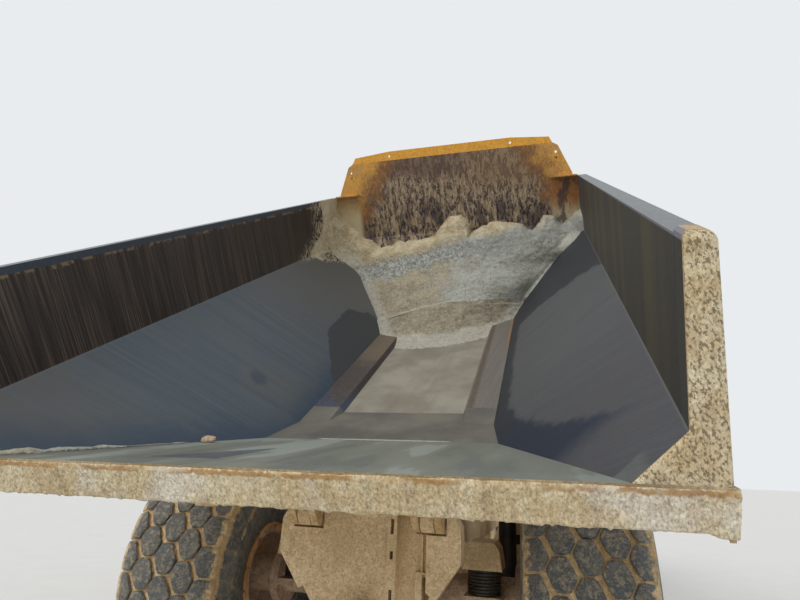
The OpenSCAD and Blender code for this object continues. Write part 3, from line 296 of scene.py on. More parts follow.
def noise(at, scale, detail=4.0, rough=0.55):
    return put(at.tree, "ShaderNodeTexNoise",
               {"Vector": at, "Scale": scale, "Detail": detail, "Roughness": rough})[0]


def dots(at, scale, size):
    """Round grains: 1 inside each, 0 between, from the distance to the nearest random point."""
    cells = put(at.tree, "ShaderNodeTexVoronoi", {"Vector": at, "Scale": scale})
    return band(cells["Distance"], size, size * 0.6)


def split(vector):
    """The three components of a vector."""
    parts = put(vector.tree, "ShaderNodeSeparateXYZ", {0: vector})
    return [parts[i] for i in range(3)]


def new_group(name, inputs, outputs):
    """An empty node group with named sockets; gives its tree, its inputs' values and its output node."""
    tree = bpy.data.node_groups.new(name, "ShaderNodeTree")
    for socket, kind, value in inputs:
        made = tree.interface.new_socket(socket, in_out="INPUT", socket_type="NodeSocket" + kind)
        if value is not None:
            made.default_value = value
    for socket, kind in outputs:
        tree.interface.new_socket(socket, in_out="OUTPUT", socket_type="NodeSocket" + kind)
    return tree, outputs_of(tree, tree.nodes.new("NodeGroupInput")), tree.nodes.new("NodeGroupOutput")


def closed(tree, out, **results):
    """Feeds a group's results to its outputs, and gives the group."""
    for key, value in results.items():
        feed(out.inputs[key], value)
    return tree


def use(group, **inputs):
    """Places a group; the words of its inputs' names are joined by underscores here."""
    tree = tree_of(*inputs.values())
    made = tree.nodes.new("ShaderNodeGroup")
    made.node_tree = group
    for key, value in inputs.items():
        feed(made.inputs[key.replace("_", " ")], value)
    return outputs_of(tree, made)


# Sockets of the groups' outputs: one mask, or what a surface takes
MASK = [("Mask", "Float")]
SURFACE = [("Color", "Color"), ("Roughness", "Float"), ("Height", "Float")]


def caked_mud_group():
    """Dried mud: two tones in soft patches, with painted shade in its pits and a painted highlight on its
    crests; its grain may be drawn out.
    """
    tree, given, out = new_group("caked mud", [
        ("At", "Vector", None), ("Pale", "Color", tone("c2a984")), ("Deep", "Color", tone("8f7757")),
        ("Grain", "Float", 1.0), ("Stretch", "Vector", (1.0, 1.0, 1.0)), ("Pits", "Float", 0.7),
        ("Crests", "Float", 0.55)], SURFACE)
    scaled = put(tree, "ShaderNodeVectorMath", {0: given["At"], "Scale": given["Grain"]},
                 operation="SCALE")[0]
    drawn = vector_math("MULTIPLY", scaled, given["Stretch"])
    patches = noise(scaled, 3.5, 5.0, 0.6)
    lumps = noise(drawn, 30.0, 5.0, 0.75)
    crumbs = noise(drawn, 105.0, 4.0, 0.75)
    share = patches * 0.9 + lumps * 0.8
    base = mixed(band(share, 0.66, 1.02), given["Pale"], given["Deep"])
    # Darker and lighter copies of the colour: painted shade in the lowest places of the fine grain (the
    # pits) and a painted highlight on its highest (the crests); the same grain is in the height
    dark = shaded(base, Value=0.48)
    light = shaded(base, Value=1.28, Saturation=0.82)
    painted_pit_shade = band(crumbs, 0.475, 0.385)
    painted_crest_light = band(crumbs, 0.53, 0.64)
    color = mixed(painted_crest_light * given["Crests"], base, light)
    color = mixed(painted_pit_shade * given["Pits"], color, dark)
    height = lumps + crumbs * 0.5
    return closed(tree, out, Color=color, Roughness=band(crumbs, -0.6, 0.9), Height=height)


def flakes_group():
    """Thin flakes that run down a face: noise stretched along one way, cut at a level."""
    tree, given, out = new_group("flakes", [
        ("At", "Vector", None), ("Stretch", "Vector", (1.0, 1.0, 0.3)), ("Scale", "Float", 60.0),
        ("Level", "Float", 0.5)], MASK)
    drawn = vector_math("MULTIPLY", given["At"], given["Stretch"])
    value = noise(drawn, given["Scale"], 3.0, 0.65)
    high = given["Level"] + 0.04
    return closed(tree, out, Mask=band(value, given["Level"], high))


def scratches_group():
    """Rubbed lines: noise that is fine across the rubbing and long along it, in two widths."""
    tree, given, out = new_group("scratches", [
        ("At", "Vector", None), ("Along", "Vector", (0.0, 0.5, -0.85)),
        ("Across", "Vector", (0.0, 0.85, 0.5)), ("Fine", "Float", 60.0), ("Broad", "Float", 0.4)], MASK)
    far = vector_math("DOT_PRODUCT", given["At"], given["Along"]) * 0.9
    side = vector_math("DOT_PRODUCT", given["At"], given["Across"])
    thin = side * given["Fine"]
    wide = thin * 0.18
    fine = noise(put(tree, "ShaderNodeCombineXYZ", {0: thin, 1: far})[0], 1.0, 3.0, 0.7)
    broad = noise(put(tree, "ShaderNodeCombineXYZ", {0: wide, 1: far, 2: 3.7})[0], 1.0, 2.0, 0.5)
    total = put(tree, "ShaderNodeMix", {0: given["Broad"], 2: fine, 3: broad})[0]
    return closed(tree, out, Mask=band(total, 0.34, 0.66))


def dust_group():
    """Dust that lies on faces that look up, thins out on upright ones and gathers in soft patches."""
    tree, given, out = new_group("dust", [
        ("At", "Vector", None), ("Normal", "Vector", None), ("Amount", "Float", 0.5)], MASK)
    up = put(tree, "ShaderNodeSeparateXYZ", {0: given["Normal"]})["Z"]
    lying = band(up, -0.4, 1.0)
    patch = noise(given["At"], 5.0, 6.0, 0.6)
    total = lying * 0.45 + patch * 0.9
    level = 1.15 - given["Amount"]
    high = level + 0.35
    return closed(tree, out, Mask=band(total, level, high))


def worn_edge_group():
    """Bare edges: where a softened normal leaves the true one, broken up by noise."""
    tree, given, out = new_group("worn edge", [("At", "Vector", None), ("Width", "Float", 0.012)], MASK)
    soft = put(tree, "ShaderNodeBevel", {"Radius": given["Width"]}, samples=4)[0]
    true = put(tree, "ShaderNodeNewGeometry")["Normal"]
    same = vector_math("DOT_PRODUCT", soft, true)
    edge = band(same, 0.995, 0.9)
    broken = band(noise(given["At"], 9.0, 5.0, 0.65), 0.42, 0.6)
    return closed(tree, out, Mask=edge * broken)


CAKED_MUD = caked_mud_group()
FLAKES = flakes_group()
SCRATCHES = scratches_group()
DUST = dust_group()
WORN_EDGE = worn_edge_group()


def flaked(at, drawn, scale, level):
    """Mask of flakes of one size, drawn out upwards where drawn is below 1."""
    return use(FLAKES, At=at, Stretch=(1.0, 1.0, drawn), Scale=scale, Level=level)["Mask"]


def dusty(at, normal, amount):
    return use(DUST, At=at, Normal=normal, Amount=amount)["Mask"]


def rubbed(at, forwards, upwards, fine, broad):
    """Mask of lines rubbed across a side of the body: forwards and upwards tell how they lean."""
    return use(SCRATCHES, At=at, Along=(0.0, forwards, -upwards), Across=(0.0, upwards, forwards),
               Fine=fine, Broad=broad)["Mask"]


def new_material(name):
    """An empty material; gives it, and the object coordinates and the normal of its surface."""
    material = bpy.data.materials.new(name)
    material.use_nodes = True
    material.node_tree.nodes.clear()
    place = put(material.node_tree, "ShaderNodeTexCoord")
    return material, place["Object"], place["Normal"]


def finish(material, color, rough, height=None, depth=0.004, **fixed):
    """Closes a material with a Principled shader; its height is a bump of that depth in metres."""
    tree = material.node_tree
    inputs = {"Base Color": color, "Roughness": rough}
    inputs.update({key.replace("_", " "): value for key, value in fixed.items()})
    if height is not None:
        inputs["Normal"] = put(tree, "ShaderNodeBump", {"Height": height, "Distance": depth})[0]
    put(tree, "ShaderNodeOutputMaterial", {"Surface": put(tree, "ShaderNodeBsdfPrincipled", inputs)[0]})
    return material


def body_coordinates(at):
    """Coordinates of the raised body: x across, y forwards from the lip, z up from the valley floor."""
    zero = in_body(0.0, 0.0, 0.0)
    cos, sin = math.cos(TIP), math.sin(TIP)
    back = (0.0, -(zero[1] * cos + zero[2] * sin), -(zero[2] * cos - zero[1] * sin))
    return put(at.tree, "ShaderNodeMapping", {"Vector": at, "Location": back, "Rotation": (-TIP, 0.0, 0.0)},
               vector_type="POINT")[0]


# Upwards and forwards in the raised body's own frame
BODY_UP = (0.0, -math.sin(TIP), math.cos(TIP))
BODY_AHEAD = (0.0, math.cos(TIP), math.sin(TIP))


# Materials


def mud_material(name, pale, deep, grain):
    material, at, _ = new_material(name)
    mud = use(CAKED_MUD, At=at, Pale=pale, Deep=deep, Grain=grain)
    return finish(material, mud["Color"], mud["Roughness"], mud["Height"], 0.006)


def painted(name, color, dust_amount):
    """Paint over steel: faded patches, dust, rusty chips and bare edges."""
    material, at, normal = new_material(name)
    faded = noise(at, 1.7, 4.0)
    base = mixed(band(faded, 0.35, 0.7), color, "6b4a22")
    base = mixed(0.75, base, color)
    chips = band(noise(at, 34.0, 6.0, 0.75), 0.66, 0.7)
    edge = use(WORN_EDGE, At=at, Width=0.01)["Mask"]
    bare = larger(chips * 0.6, edge * 0.7)
    base = mixed(bare, base, "5a3f2c")
    dust = dusty(at, normal, dust_amount)
    mud = use(CAKED_MUD, At=at, Pale="b49b78", Deep="94805f")
    base = mixed(dust * 0.8, base, mud["Color"])
    rough = 0.38 + dust * 0.5
    height = dust * mud["Height"] + bare * -0.3
    return finish(material, base, rough, height, 0.0015)


def steel(name, color, deep, dust_amount, metallic=0.25):
    """Dark working steel: oily patches, scuffs and dust."""
    material, at, normal = new_material(name)
    patch = noise(at, 4.0, 5.0)
    base = mixed(band(patch, 0.35, 0.65), color, deep)
    edge = use(WORN_EDGE, At=at, Width=0.008)["Mask"]
    base = mixed(edge * 0.6, base, "7d7568")
    dust = dusty(at, normal, dust_amount)
    mud = use(CAKED_MUD, At=at, Pale="a8906d", Deep="7d6a50")
    base = mixed(dust * 0.85, base, mud["Color"])
    rough = 0.45 + dust * 0.4
    return finish(material, base, rough, mud["Height"] * dust, 0.002, Metallic=metallic)


def floor_height(v, w):
    """How far a place stands above the tail floor or the valley, straight up in the body's own frame."""
    tail = LIP_RISE - v * ((LIP_RISE - CREASE[1]) / CREASE[0])
    return w - larger(tail, 0.05)


def inner_side_group():
    """The body's sides from within: rubbed lower plates, dark upper walls, and mud by the headboard."""
    tree, given, out = new_group("inner sides", [("At", "Vector", None)], SURFACE)
    place = given["At"]
    x, v, w = split(place)
    jag = noise(place, 9.0, 4.0, 0.7) - 0.5
    soft = noise(place, 1.3, 4.0, 0.6) - 0.5
    grain = noise(place, 70.0, 4.0, 0.7)
    left_lines = rubbed(place, 0.43, 0.9, 110.0, 0.22)
    right_lines = rubbed(place, 0.68, 0.73, 95.0, 0.22)
    wall_lines = rubbed(place, 0.12, 0.99, 105.0, 0.25)
    is_right = band(x, -0.1, 0.1)
    is_left = 1.0 - is_right
    low = floor_height(v, w)
    # Lower plate on the left: blue-grey, browner at both ends, deep blue at its foot, a damp patch in front
    left = mixed(left_lines * 0.75, "4d565d", "616c74")
    left = mixed(band(soft, 0.02, 0.2) * 0.6, left, "62625e")
    ends = larger(band(v + w * 1.2, 3.1, 4.6), band(v, 1.2, 0.2))
    left = mixed(ends * (0.95 - left_lines * 0.7), left, "67635c")
    speck = flaked(place, 1.0, 40.0, 0.5)
    patch = v * 0.16 + jag * 0.1
    patch = band(patch + w, 1.53, 1.56) * band(v, 4.35, 4.6)
    cream = vector_math("DISTANCE", place, (-1.51, 4.45, 0.93)) + jag * 0.12
    left = mixed(band(cream, 0.1, 0.07), left, "cdbf9f")
    left = mixed(patch, left, mixed(speck, "33343a", "c9bea4"))
    foot = low + soft * 0.35
    left = mixed(band(foot, 0.24, 0.0) * 0.75, left, "2e4258")
    spot = vector_math("DISTANCE", place, (-1.03, 1.89, 0.39)) + jag * 0.12
    left = mixed(band(spot, 0.1, 0.03) * 0.6, left, "33415a")
    shore = smaller(v * 0.45 - 1.1, 0.4) - band(v, 3.85, 4.25) * 0.12
    ragged = shore + jag * 0.12
    damp = band(ragged - w, -0.005, 0.01)
    reach = v + w * 0.3 + jag * 0.1
    damp = damp * (band(v, 2.5, 2.7) * band(reach, 4.35, 4.32))
    cap = w - 0.41 + (4.22 - v) * 0.06 + jag * 0.1
    damp = damp * band(cap, 0.012, 0.0)
    left = mixed(damp, left, mixed(grain, "34373d", "474a4e"))
    # Lower plate on the right: a rubbed field with a dark edge along its front and its foot
    right = mixed(right_lines * 0.8, "4b4e51", "5d6062")
    right = mixed(band(v, 2.2, 0.4) * 0.55, right, "45434a")
    back = larger(2.3 - v, 0.0)
    foot = 0.14 + back * back * 0.2 + jag * 0.14
    front = 3.93 - w * w * 1.17 + jag * 0.45
    field = band(w - foot, -0.015, 0.04) * band(front - v, -0.015, 0.06)
    rear_end = v + soft * 0.5
    field = larger(field, band(rear_end, 0.62, 0.4))
    dark = mixed(right_lines, "22262e", "2d333c")
    dark = mixed(band(v, 1.9, 1.2) * 0.8, dark, "18263b")
    right = mixed(field, dark, right)
    lower = mixed(is_right, left, right)
    # Upper walls: brown with pale streaks on the left, olive and smooth on the right
    streaks = band(wall_lines, 0.45, 0.95) * band(v, 5.2, 1.5)
    brown = mixed(wall_lines, "261f1e", "3f3530")
    brown = mixed(streaks * 0.45, brown, "7b6a5b")
    olive = mixed(wall_lines * 0.6, "34332f", "3f3d36")
    bands = noise(put(tree, "ShaderNodeCombineXYZ", {1: v})[0], 2.6, 2.0, 0.4)
    olive = mixed(band(bands, 0.45, 0.62) * 0.75, olive, "524b35")
    olive = mixed(band(v, 4.4, 5.1) * 0.7, olive, "474d55")
    upper = mixed(is_right, brown, olive)
    hang = w + jag * 0.05
    broken = band(noise(place, 6.0, 5.0, 0.7), 0.47, 0.55)
    clumps = band(hang, 1.48, 1.496) * (is_left * broken)
    upper = mixed(clumps * 0.8, upper, mixed(grain, "6f5a48", "a88f70"))
    rail = band(w, 1.504, 1.51) * is_left
    upper = mixed(rail, upper, mixed(grain, "2f3640", "46505c"))
    pale_edge = band(w, 1.538, 1.544) * is_right
    upper = mixed(pale_edge * 0.8, upper, "8a8792")
    inside = mixed(band(w, 0.953, 0.961), lower, upper)
    edge = abs(w - 0.957)
    inside = mixed(band(edge, 0.008, 0.0) * 0.25, inside, "8d8f8e")
    # Mud that clings to the left wall near the headboard, with dark streaks where it ends
    mud = use(CAKED_MUD, At=place, Pale="ddd2b6", Deep="bcae90", Pits=0.4)
    flakes = flaked(place, 0.5, 34.0, 0.5)
    start = 4.7 - band(w, 1.25, 0.95) * 0.45
    reach = v + jag * 0.5 - start
    caked = band(reach, 0.0, 0.08)
    thin = band(reach, -0.38, 0.05) * flakes
    caked = larger(caked, thin) * (is_left * band(w, 0.9, 0.95))
    inside = mixed(caked, inside, mud["Color"])
    inside = mixed(band(grain, 0.58, 0.72) * 0.12, inside, "a39c8e")
    lines = left_lines + right_lines
    height = lines * 0.05 + caked * mud["Height"]
    return closed(tree, out, Color=inside, Roughness=grain * 0.25 + 0.42, Height=height)


def side_material():
    """A side of the body: rubbed steel within, a bare worn rail on top, yellow paint under dust outside."""
    material, at, normal = new_material("body side steel")
    place = body_coordinates(at)
    x, _, w = split(place)
    inside = use(INNER_SIDES, At=place)
    rail = mixed(noise(place, 18.0, 6.0, 0.7), "59626d", "8a8b86")
    top = band(vector_math("DOT_PRODUCT", normal, BODY_UP), 0.9, 0.97) * band(w, 1.45, 1.5)
    sign = band(x, -0.1, 0.1) * 2.0 - 1.0
    outward = split(normal)[0] * sign
    faded = noise(at, 3.0, 6.0, 0.65)
    paint = mixed(band(faded, 0.42, 0.66), "c48a2b", "a68a5c")
    mud = use(CAKED_MUD, At=at, Pale="b59c78", Deep="8d7755")
    splash = faded + (0.5 - w) * 0.25
    paint = mixed(band(splash, 0.5, 0.62), paint, mud["Color"])
    color = mixed(top, inside["Color"], rail)
    color = mixed(band(outward, 0.2, 0.4), color, paint)
    return finish(material, color, inside["Roughness"], inside["Height"], 0.004, Metallic=0.1)


def floor_group():
    """The floor from above: a green-grey tail with dust, a grey slope, a pale valley and brown shelves."""
    tree, given, out = new_group("body floor", [("At", "Vector", None)], SURFACE)
    place = given["At"]
    x, v, w = split(place)
    away = abs(x)
    soft = noise(place, 1.4, 4.0, 0.6)
    lean = put(tree, "ShaderNodeMapping", {"Vector": place, "Rotation": (0.0, 0.0, 0.21),
                                           "Scale": (2.6, 0.55, 0.0)}, vector_type="POINT")[0]
    washed = noise(lean, 1.0, 5.0, 0.5)
    lines = use(SCRATCHES, At=place, Along=(0.12, 1.0, 0.0), Across=(1.0, -0.12, 0.0), Fine=45.0)["Mask"]
    fine = noise(place, 60.0, 5.0, 0.7)
    tail = mixed(band(washed, 0.4, 0.62), "74776b", "898c80")
    tail = mixed(band(washed, 0.535, 0.555), tail, "959b93")
    tail = mixed(band(washed, 0.44, 0.41) * 0.7, tail, "666b66")
    tail = mixed(band(x, 0.2, 1.2) * 0.4, tail, "7b8079")
    tail = mixed(lines * 0.12, tail, "565b5b")
    # A dark patch with three sides, behind the crease on the left
    jag = (noise(place, 14.0, 4.0, 0.7) - 0.5) * 0.07
    rear = v - 0.24
    right = -0.3 - x
    left = (x + 0.625) * 0.84 - (v - 0.308) * 0.54
    within = smaller(rear, smaller(right, left)) + jag
    tail = mixed(band(within, -0.004, 0.01) * 0.8, tail, "474d56")
    slope = mixed(band(soft, 0.35, 0.6), "5c5953", "77736a")
    slope = mixed(band(away, 0.5, 1.0) * 0.6, slope, "524d49")
    valley = mixed(band(noise(place, 2.4, 5.0), 0.35, 0.65), "867f72", "9f998b")
    streaks = band(washed, 0.42, 0.6) * lines
    valley = mixed(streaks * 0.5, valley, "75695a")
    worn = noise(place, 5.0, 4.0, 0.6)
    back = v + worn * 0.8
    left = mixed(band(back, 3.9, 3.3), "6e6150", "423b3b")
    # Blue towards the rear of the left shelf: a painted blue highlight, the sheen of the sky on the steel
    left = mixed(band(back + x * 1.2, 2.1, 1.8), left, "36435e")
    right = mixed(band(x, 0.53, 0.57), "5a5045", "77716c")
    right = mixed(band(x, 0.69, 0.72) * band(v, 3.2, 3.9), right, "96784f")
    shelf = mixed(band(x, -0.2, 0.2), left, right)
    shelf = mixed(lines * 0.3, shelf, "4b423b")
    shelf = mixed(band(fine, 0.5, 0.7) * 0.35, shelf, "93866f")
    # The left riser is dark purple-brown, with a painted blue sheen towards its rear, lower end
    riser = mixed(band(v, 2.6, 2.2), "433a39", "4a5468")
    riser = mixed(band(x, -0.2, 0.2), riser, "7d766a")
    shelf = mixed(band(w, 0.046, 0.04), shelf, riser)
    deep = mixed(band(away, VALLEY_HALF - 0.002, VALLEY_HALF + 0.004), valley, shelf)
    front = mixed(band(v, 2.135, 2.142), slope, deep)
    color = mixed(band(v, CREASE[0] - 0.004, CREASE[0] + 0.004), tail, front)
    # A worn bright line on the crease
    ragged = v + fine * 0.03
    line = band(abs(ragged - (CREASE[0] + 0.03)), 0.016, 0.004)
    ends = away + noise(place, 5.0, 3.0) * 1.1
    line = line * band(ends, 1.05, 0.85)
    color = mixed(line * 0.7, color, "c9ccc6")
    color = mixed(band(fine, 0.5, 0.8) * 0.3, color, "b3aea1")
    return closed(tree, out, Color=color, Roughness=fine * 0.25 + 0.45, Height=fine)


def floor_material():
    """The body's floor, muddy yellow on its underside."""
    material, at, normal = new_material("body floor steel")
    above = use(FLOOR_STEEL, At=body_coordinates(at))
    below = band(vector_math("DOT_PRODUCT", normal, BODY_UP), 0.0, -0.2)
    mud = use(CAKED_MUD, At=at, Pale="9b8258", Deep="6f5c42")
    color = mixed(below, above["Color"], mud["Color"])
    return finish(material, color, above["Roughness"], above["Height"], 0.002, Metallic=0.1)


def tail_material():
    """Rear lip and posts: the floor's steel on top, the sides' steel within, and mud behind and outside."""
    material, at, normal = new_material("tail steel under mud")
    place = body_coordinates(at)
    x, _, w = split(place)
    floor = use(FLOOR_STEEL, At=place)
    inside = use(INNER_SIDES, At=place)
    mud = use(CAKED_MUD, At=at, Pale="c6b08a", Deep="a0875f")
    sign = band(x, -0.1, 0.1) * 2.0 - 1.0
    inward = split(normal)[0] * sign
    within = band(inward, -0.3, -0.5) * band(w, 0.7, 0.72)
    on_top = band(vector_math("DOT_PRODUCT", normal, BODY_UP), 0.6, 0.8) * band(w, 0.85, 0.8)
    color = mixed(within, mud["Color"], inside["Color"])
    color = mixed(on_top, color, floor["Color"])
    height = mud["Height"] * (1.0 - larger(within, on_top))
    return finish(material, color, 0.75, height, 0.006)


def tail_mud_material():
    """Mud on the lip and posts: drawn down in drips and stains, with dark slanting marks and a thin rusty
    line along the lip's top edge."""
    material, at, _ = new_material("caked tail mud")
    place = body_coordinates(at)
    w = split(place)[2]
    mud = use(CAKED_MUD, At=place, Pale="e8dab9", Deep="cfb98f", Grain=1.1, Stretch=(1.0, 1.0, 0.55),
              Pits=0.75, Crests=0.6)
    drip = vector_math("MULTIPLY", place, (13.0, 1.0, 1.3))
    stain = band(noise(drip, 1.0, 5.0, 0.65), 0.52, 0.64)
    on_lip = band(w, LIP_RISE + 0.02, LIP_RISE - 0.02)
    brown = shaded(mud["Color"], Hue=0.485, Value=0.72)
    pale = shaded(mud["Color"], Value=1.07, Saturation=0.55)
    share = stain * (0.25 + on_lip * 0.5)
    color = mixed(share, mud["Color"], brown)
    washed = band(noise(place, 2.3, 3.0, 0.5), 0.47, 0.58)
    color = mixed(washed * (on_lip * 0.8), color, pale)
    slanted = put(at.tree, "ShaderNodeMapping", {"Vector": place, "Rotation": (0.0, 0.45, 0.0)},
                  vector_type="POINT")[0]
    marks = flaked(slanted, 0.5, 105.0, 0.53)
    where = 0.75 - on_lip * 0.45
    color = mixed(marks * where, color, "6f583f")
    jag = (noise(place, 30.0, 4.0, 0.7) - 0.5) * 0.03
    edge = w + jag
    rusty = band(edge, LIP_RISE - 0.034, LIP_RISE - 0.022) * band(edge, LIP_RISE - 0.008, LIP_RISE - 0.016)
    rusty = rusty * band(noise(place, 3.0, 4.0, 0.6), 0.42, 0.55)
    rust = mixed(noise(place, 40.0, 4.0, 0.7), "5d4023", "c7954f")
    color = mixed(rusty * 0.85, color, rust)
    return finish(material, color, mud["Roughness"], mud["Height"], 0.007)


def headboard_material():
    """Headboard and guard: yellow at the corners and on top, rust towards a dark middle with tan flakes."""
    material, at, normal = new_material("headboard steel and paint")
    place = body_coordinates(at)
    x, _, w = split(place)
    away = abs(x)
    is_right = band(x, -0.1, 0.1)
    jag = noise(place, 4.0, 5.0, 0.65) - 0.5
    corner = away * 0.85 + w * 0.55 + jag * 0.55 - x * 0.04
    yellow = mixed(band(noise(place, 6.0, 5.0), 0.35, 0.7), "e6aa4e", "cf9c58")
    rust = mixed(band(noise(place, 14.0, 6.0, 0.7), 0.35, 0.7), "86603d", "a87441")
    dark = mixed(noise(place, 3.0, 5.0), "463a3a", "5f4f49")
    drawn = vector_math("MULTIPLY", place, (5.0, 1.0, 2.0))
    patch = noise(drawn, 1.0, 4.0, 0.6)
    low = band(w + jag * 0.4, 1.46, 1.26)
    char = mixed(low * band(patch, 0.42, 0.54), dark, "2e2b33")
    broad = flaked(place, 0.34, 24.0, 0.49)
    slim = flaked(moved_on(place), 0.36, 38.0, 0.5)
    tan = mixed(noise(place, 20.0), "bea580", "e0cdaa")
    flakes = larger(broad * 0.75, slim)
    bald = low * band(patch, 0.5, 0.6)
    flakes = flakes * (1.0 - bald * 0.8)
    middle = mixed(flakes * 0.85, char, tan)
    smooth = band(w + jag * 0.5, 1.62, 1.8) * band(x, 0.5, -0.1)
    middle = mixed(smooth * 0.7, middle, "6b5148")
    right_top = band(w, 1.4, 1.65) * band(x, -0.1, 0.5)
    middle = mixed(right_top * 0.6, middle, mixed(slim, "8a6c4c", "c4a67c"))
    color = mixed(band(corner, 1.55, 1.8), middle, rust)
    color = mixed(band(corner, 1.74, 2.0), color, yellow)
    spread = slim * band(corner, 2.05, 1.65)
    color = mixed(spread * 0.6, color, "6a4a35")
    color = mixed(band(w, 1.948, 1.953), color, "d99a2e")
    spots = dots(place, 30.0, 0.16)
    color = mixed(spots * 0.7, color, "5a3b28")
    # The two side strips under the ledges: orange-brown above, caked below
    under = band(away, 1.16, 1.24) * band(w, 1.56, 1.52)
    turn = w + jag * 0.3 + is_right * 0.18
    warm = mixed(is_right, "b08c5a", "a8713f")
    strip = mixed(band(turn, 1.25, 1.5), "c6b691", warm)
    streak = band(patch, 0.55, 0.62) * band(x, 1.0, 1.2)
    strip = mixed(streak * 0.8, strip, "44383a")
    color = mixed(under, color, strip)
    color = mixed(band(vector_math("DOT_PRODUCT", normal, BODY_AHEAD), 0.1, 0.4), color, "c98a1f")
    return finish(material, color, 0.7, flakes, 0.005)


def body_mud_material():
    """Pale caked mud: cream at its ragged top, a slanting belt of pebbles, grey and brown smears, brown
    under the arc and pale at the foot."""
    material, at, _ = new_material("mud in the body")
    place = body_coordinates(at)
    x, _, w = split(place)
    jag = noise(place, 3.0, 5.0, 0.6) - 0.5
    level = w - x * 0.15 + jag * 0.3
    grey = mixed(band(noise(place, 5.0, 5.0, 0.65), 0.4, 0.62), "b1b3aa", "a09e91")
    tan = mixed(band(noise(place, 6.0, 5.0, 0.65), 0.4, 0.62), "a99d84", "91866f")
    cream = mixed(band(noise(place, 7.0, 5.0, 0.7), 0.4, 0.62), "d0c19f", "b09c76")
    brown = mixed(band(noise(place, 8.0, 5.0, 0.7), 0.4, 0.62), "a39881", "8c816b")
    color = mixed(band(x + jag * 1.2, 0.25, -0.4), grey, tan)
    belt = band(level, 0.63, 0.7) * band(level, 0.88, 0.8)
    color = mixed(belt, color, "9d9e97")
    color = mixed(band(level, 0.82, 0.96), color, cream)
    bend = x * x * 0.19 - x * 0.05
    arc = w + bend + jag * 0.015
    color = mixed(band(arc, 0.31, 0.29), color, brown)
    rim = band(abs(arc - 0.308), 0.01, 0.002)
    color = mixed(rim * 0.45, color, "cfcbbd")
    crack = band(abs(arc - 0.294), 0.008, 0.002) * band(x + jag * 0.6, -0.25, -0.45)
    color = mixed(crack * 0.75, color, "4c443a")
    # Paler at the foot and along the side plates
    side = abs(x) - (0.683 + w * 0.888) + jag * 0.2
    shore = larger(band(w + jag * 0.12, 0.085, 0.05), band(side, -0.22, -0.08) * band(w, 0.95, 0.8))
    color = mixed(shore * 0.55, color, "cdcbbe")
    # Grains all over, and pebbles that are each lighter or darker, most of them in the belt
    mud = use(CAKED_MUD, At=place)
    crumbs = noise(place, 42.0, 5.0, 0.8)
    color = mixed(band(crumbs, 0.53, 0.64) * 0.4, color, "ded9c8")
    color = mixed(band(crumbs, 0.46, 0.35) * 0.5, color, "62594d")
    cells = put(at.tree, "ShaderNodeTexVoronoi", {"Vector": place, "Scale": 42.0})
    shade = split(cells["Color"])[0]
    left = band(x, 0.5, -0.2)
    strong = 0.14 + belt * left * 0.34
    color = mixed(band(shade, 0.66, 0.8) * strong, color, "cfd0c9")
    color = mixed(band(shade, 0.3, 0.16) * strong, color, "565a5e")
    stones = dots(moved_on(place), 9.0, 0.085)
    color = mixed(stones * 0.8, color, "2f2d2c")
    height = mud["Height"] + shade * strong
    return finish(material, color, mud["Roughness"], height, 0.01)


def tyre_material():
    """Rubber: blue-grey blocks mottled with dust, and tan mud where the mud attribute is high."""
    material, at, _ = new_material("tyre rubber")
    muddy = put(at.tree, "ShaderNodeAttribute", attribute_name="mud")["Fac"]
    broken = noise(at, 16.0, 6.0, 0.7)
    rubber = mixed(band(noise(at, 7.0, 5.0), 0.35, 0.7), "4b5257", "666967")
    dusty = band(noise(at, 30.0, 6.0, 0.75), 0.42, 0.58)
    rubber = mixed(dusty * 0.62, rubber, "9a8f78")
    specks = band(noise(at, 120.0, 3.0, 0.7), 0.54, 0.66)
    rubber = mixed(specks * 0.45, rubber, "b5b0a6")
    mud = use(CAKED_MUD, At=at, Pale="ecd2a4", Deep="cbaa7a", Pits=0.45)
    total = muddy + (broken - 0.5) * 1.25
    share = band(total, 0.4, 0.62)
    color = mixed(share, rubber, mud["Color"])
    rough = 0.62 + share * 0.3
    return finish(material, color, rough, dusty + mud["Height"], 0.003)


def rim_material():
    """Orange paint gone rusty, under brown dried mud where the mud attribute is high."""
    material, at, _ = new_material("rim paint")
    muddy = put(at.tree, "ShaderNodeAttribute", attribute_name="mud")["Fac"]
    patch = noise(at, 7.0, 5.0, 0.65)
    paint = mixed(band(patch, 0.4, 0.62), "e8b878", "d69a50")
    rust = mixed(noise(at, 40.0, 4.0, 0.7), "7d4519", "b26a2a")
    paint = mixed(band(noise(at, 12.0, 6.0, 0.7), 0.5, 0.6), paint, rust)
    mud = use(CAKED_MUD, At=at, Pale="dfc0a3", Deep="b3947f", Pits=0.5)
    ragged = muddy + (patch - 0.5) * 1.2
    share = band(ragged, 0.42, 0.58)
    color = mixed(share, paint, mud["Color"])
    rough = 0.5 + share * 0.4
    return finish(material, color, rough, mud["Height"] * share, 0.002)


def body_beams_material():
    """Beams under the body: caked by the rear pivots, dark steel with dust further forwards."""
    material, at, normal = new_material("body beams")
    v = split(body_coordinates(at))[1]
    mud = use(CAKED_MUD, At=at, Pale="e0c090", Deep="b3925f")
    jag = noise(at, 5.0, 5.0, 0.65) - 0.5
    caked = band(v + jag * 1.2, 2.0, 1.5)
    dust = dusty(at, normal, 0.6)
    base = mixed(dust * 0.8, "3a3b3c", "86745a")
    color = mixed(caked, base, mud["Color"])
    return finish(material, color, 0.8, mud["Height"], 0.004)


def glass_material():
    """Tinted window glass."""
    material, at, normal = new_material("cab glass")
    dust = dusty(at, normal, 0.35)
    rough = dust * 0.35
    return finish(material, mixed(dust, "dfe9ea", "b9ab92"), rough, Transmission_Weight=0.92, IOR=1.45)


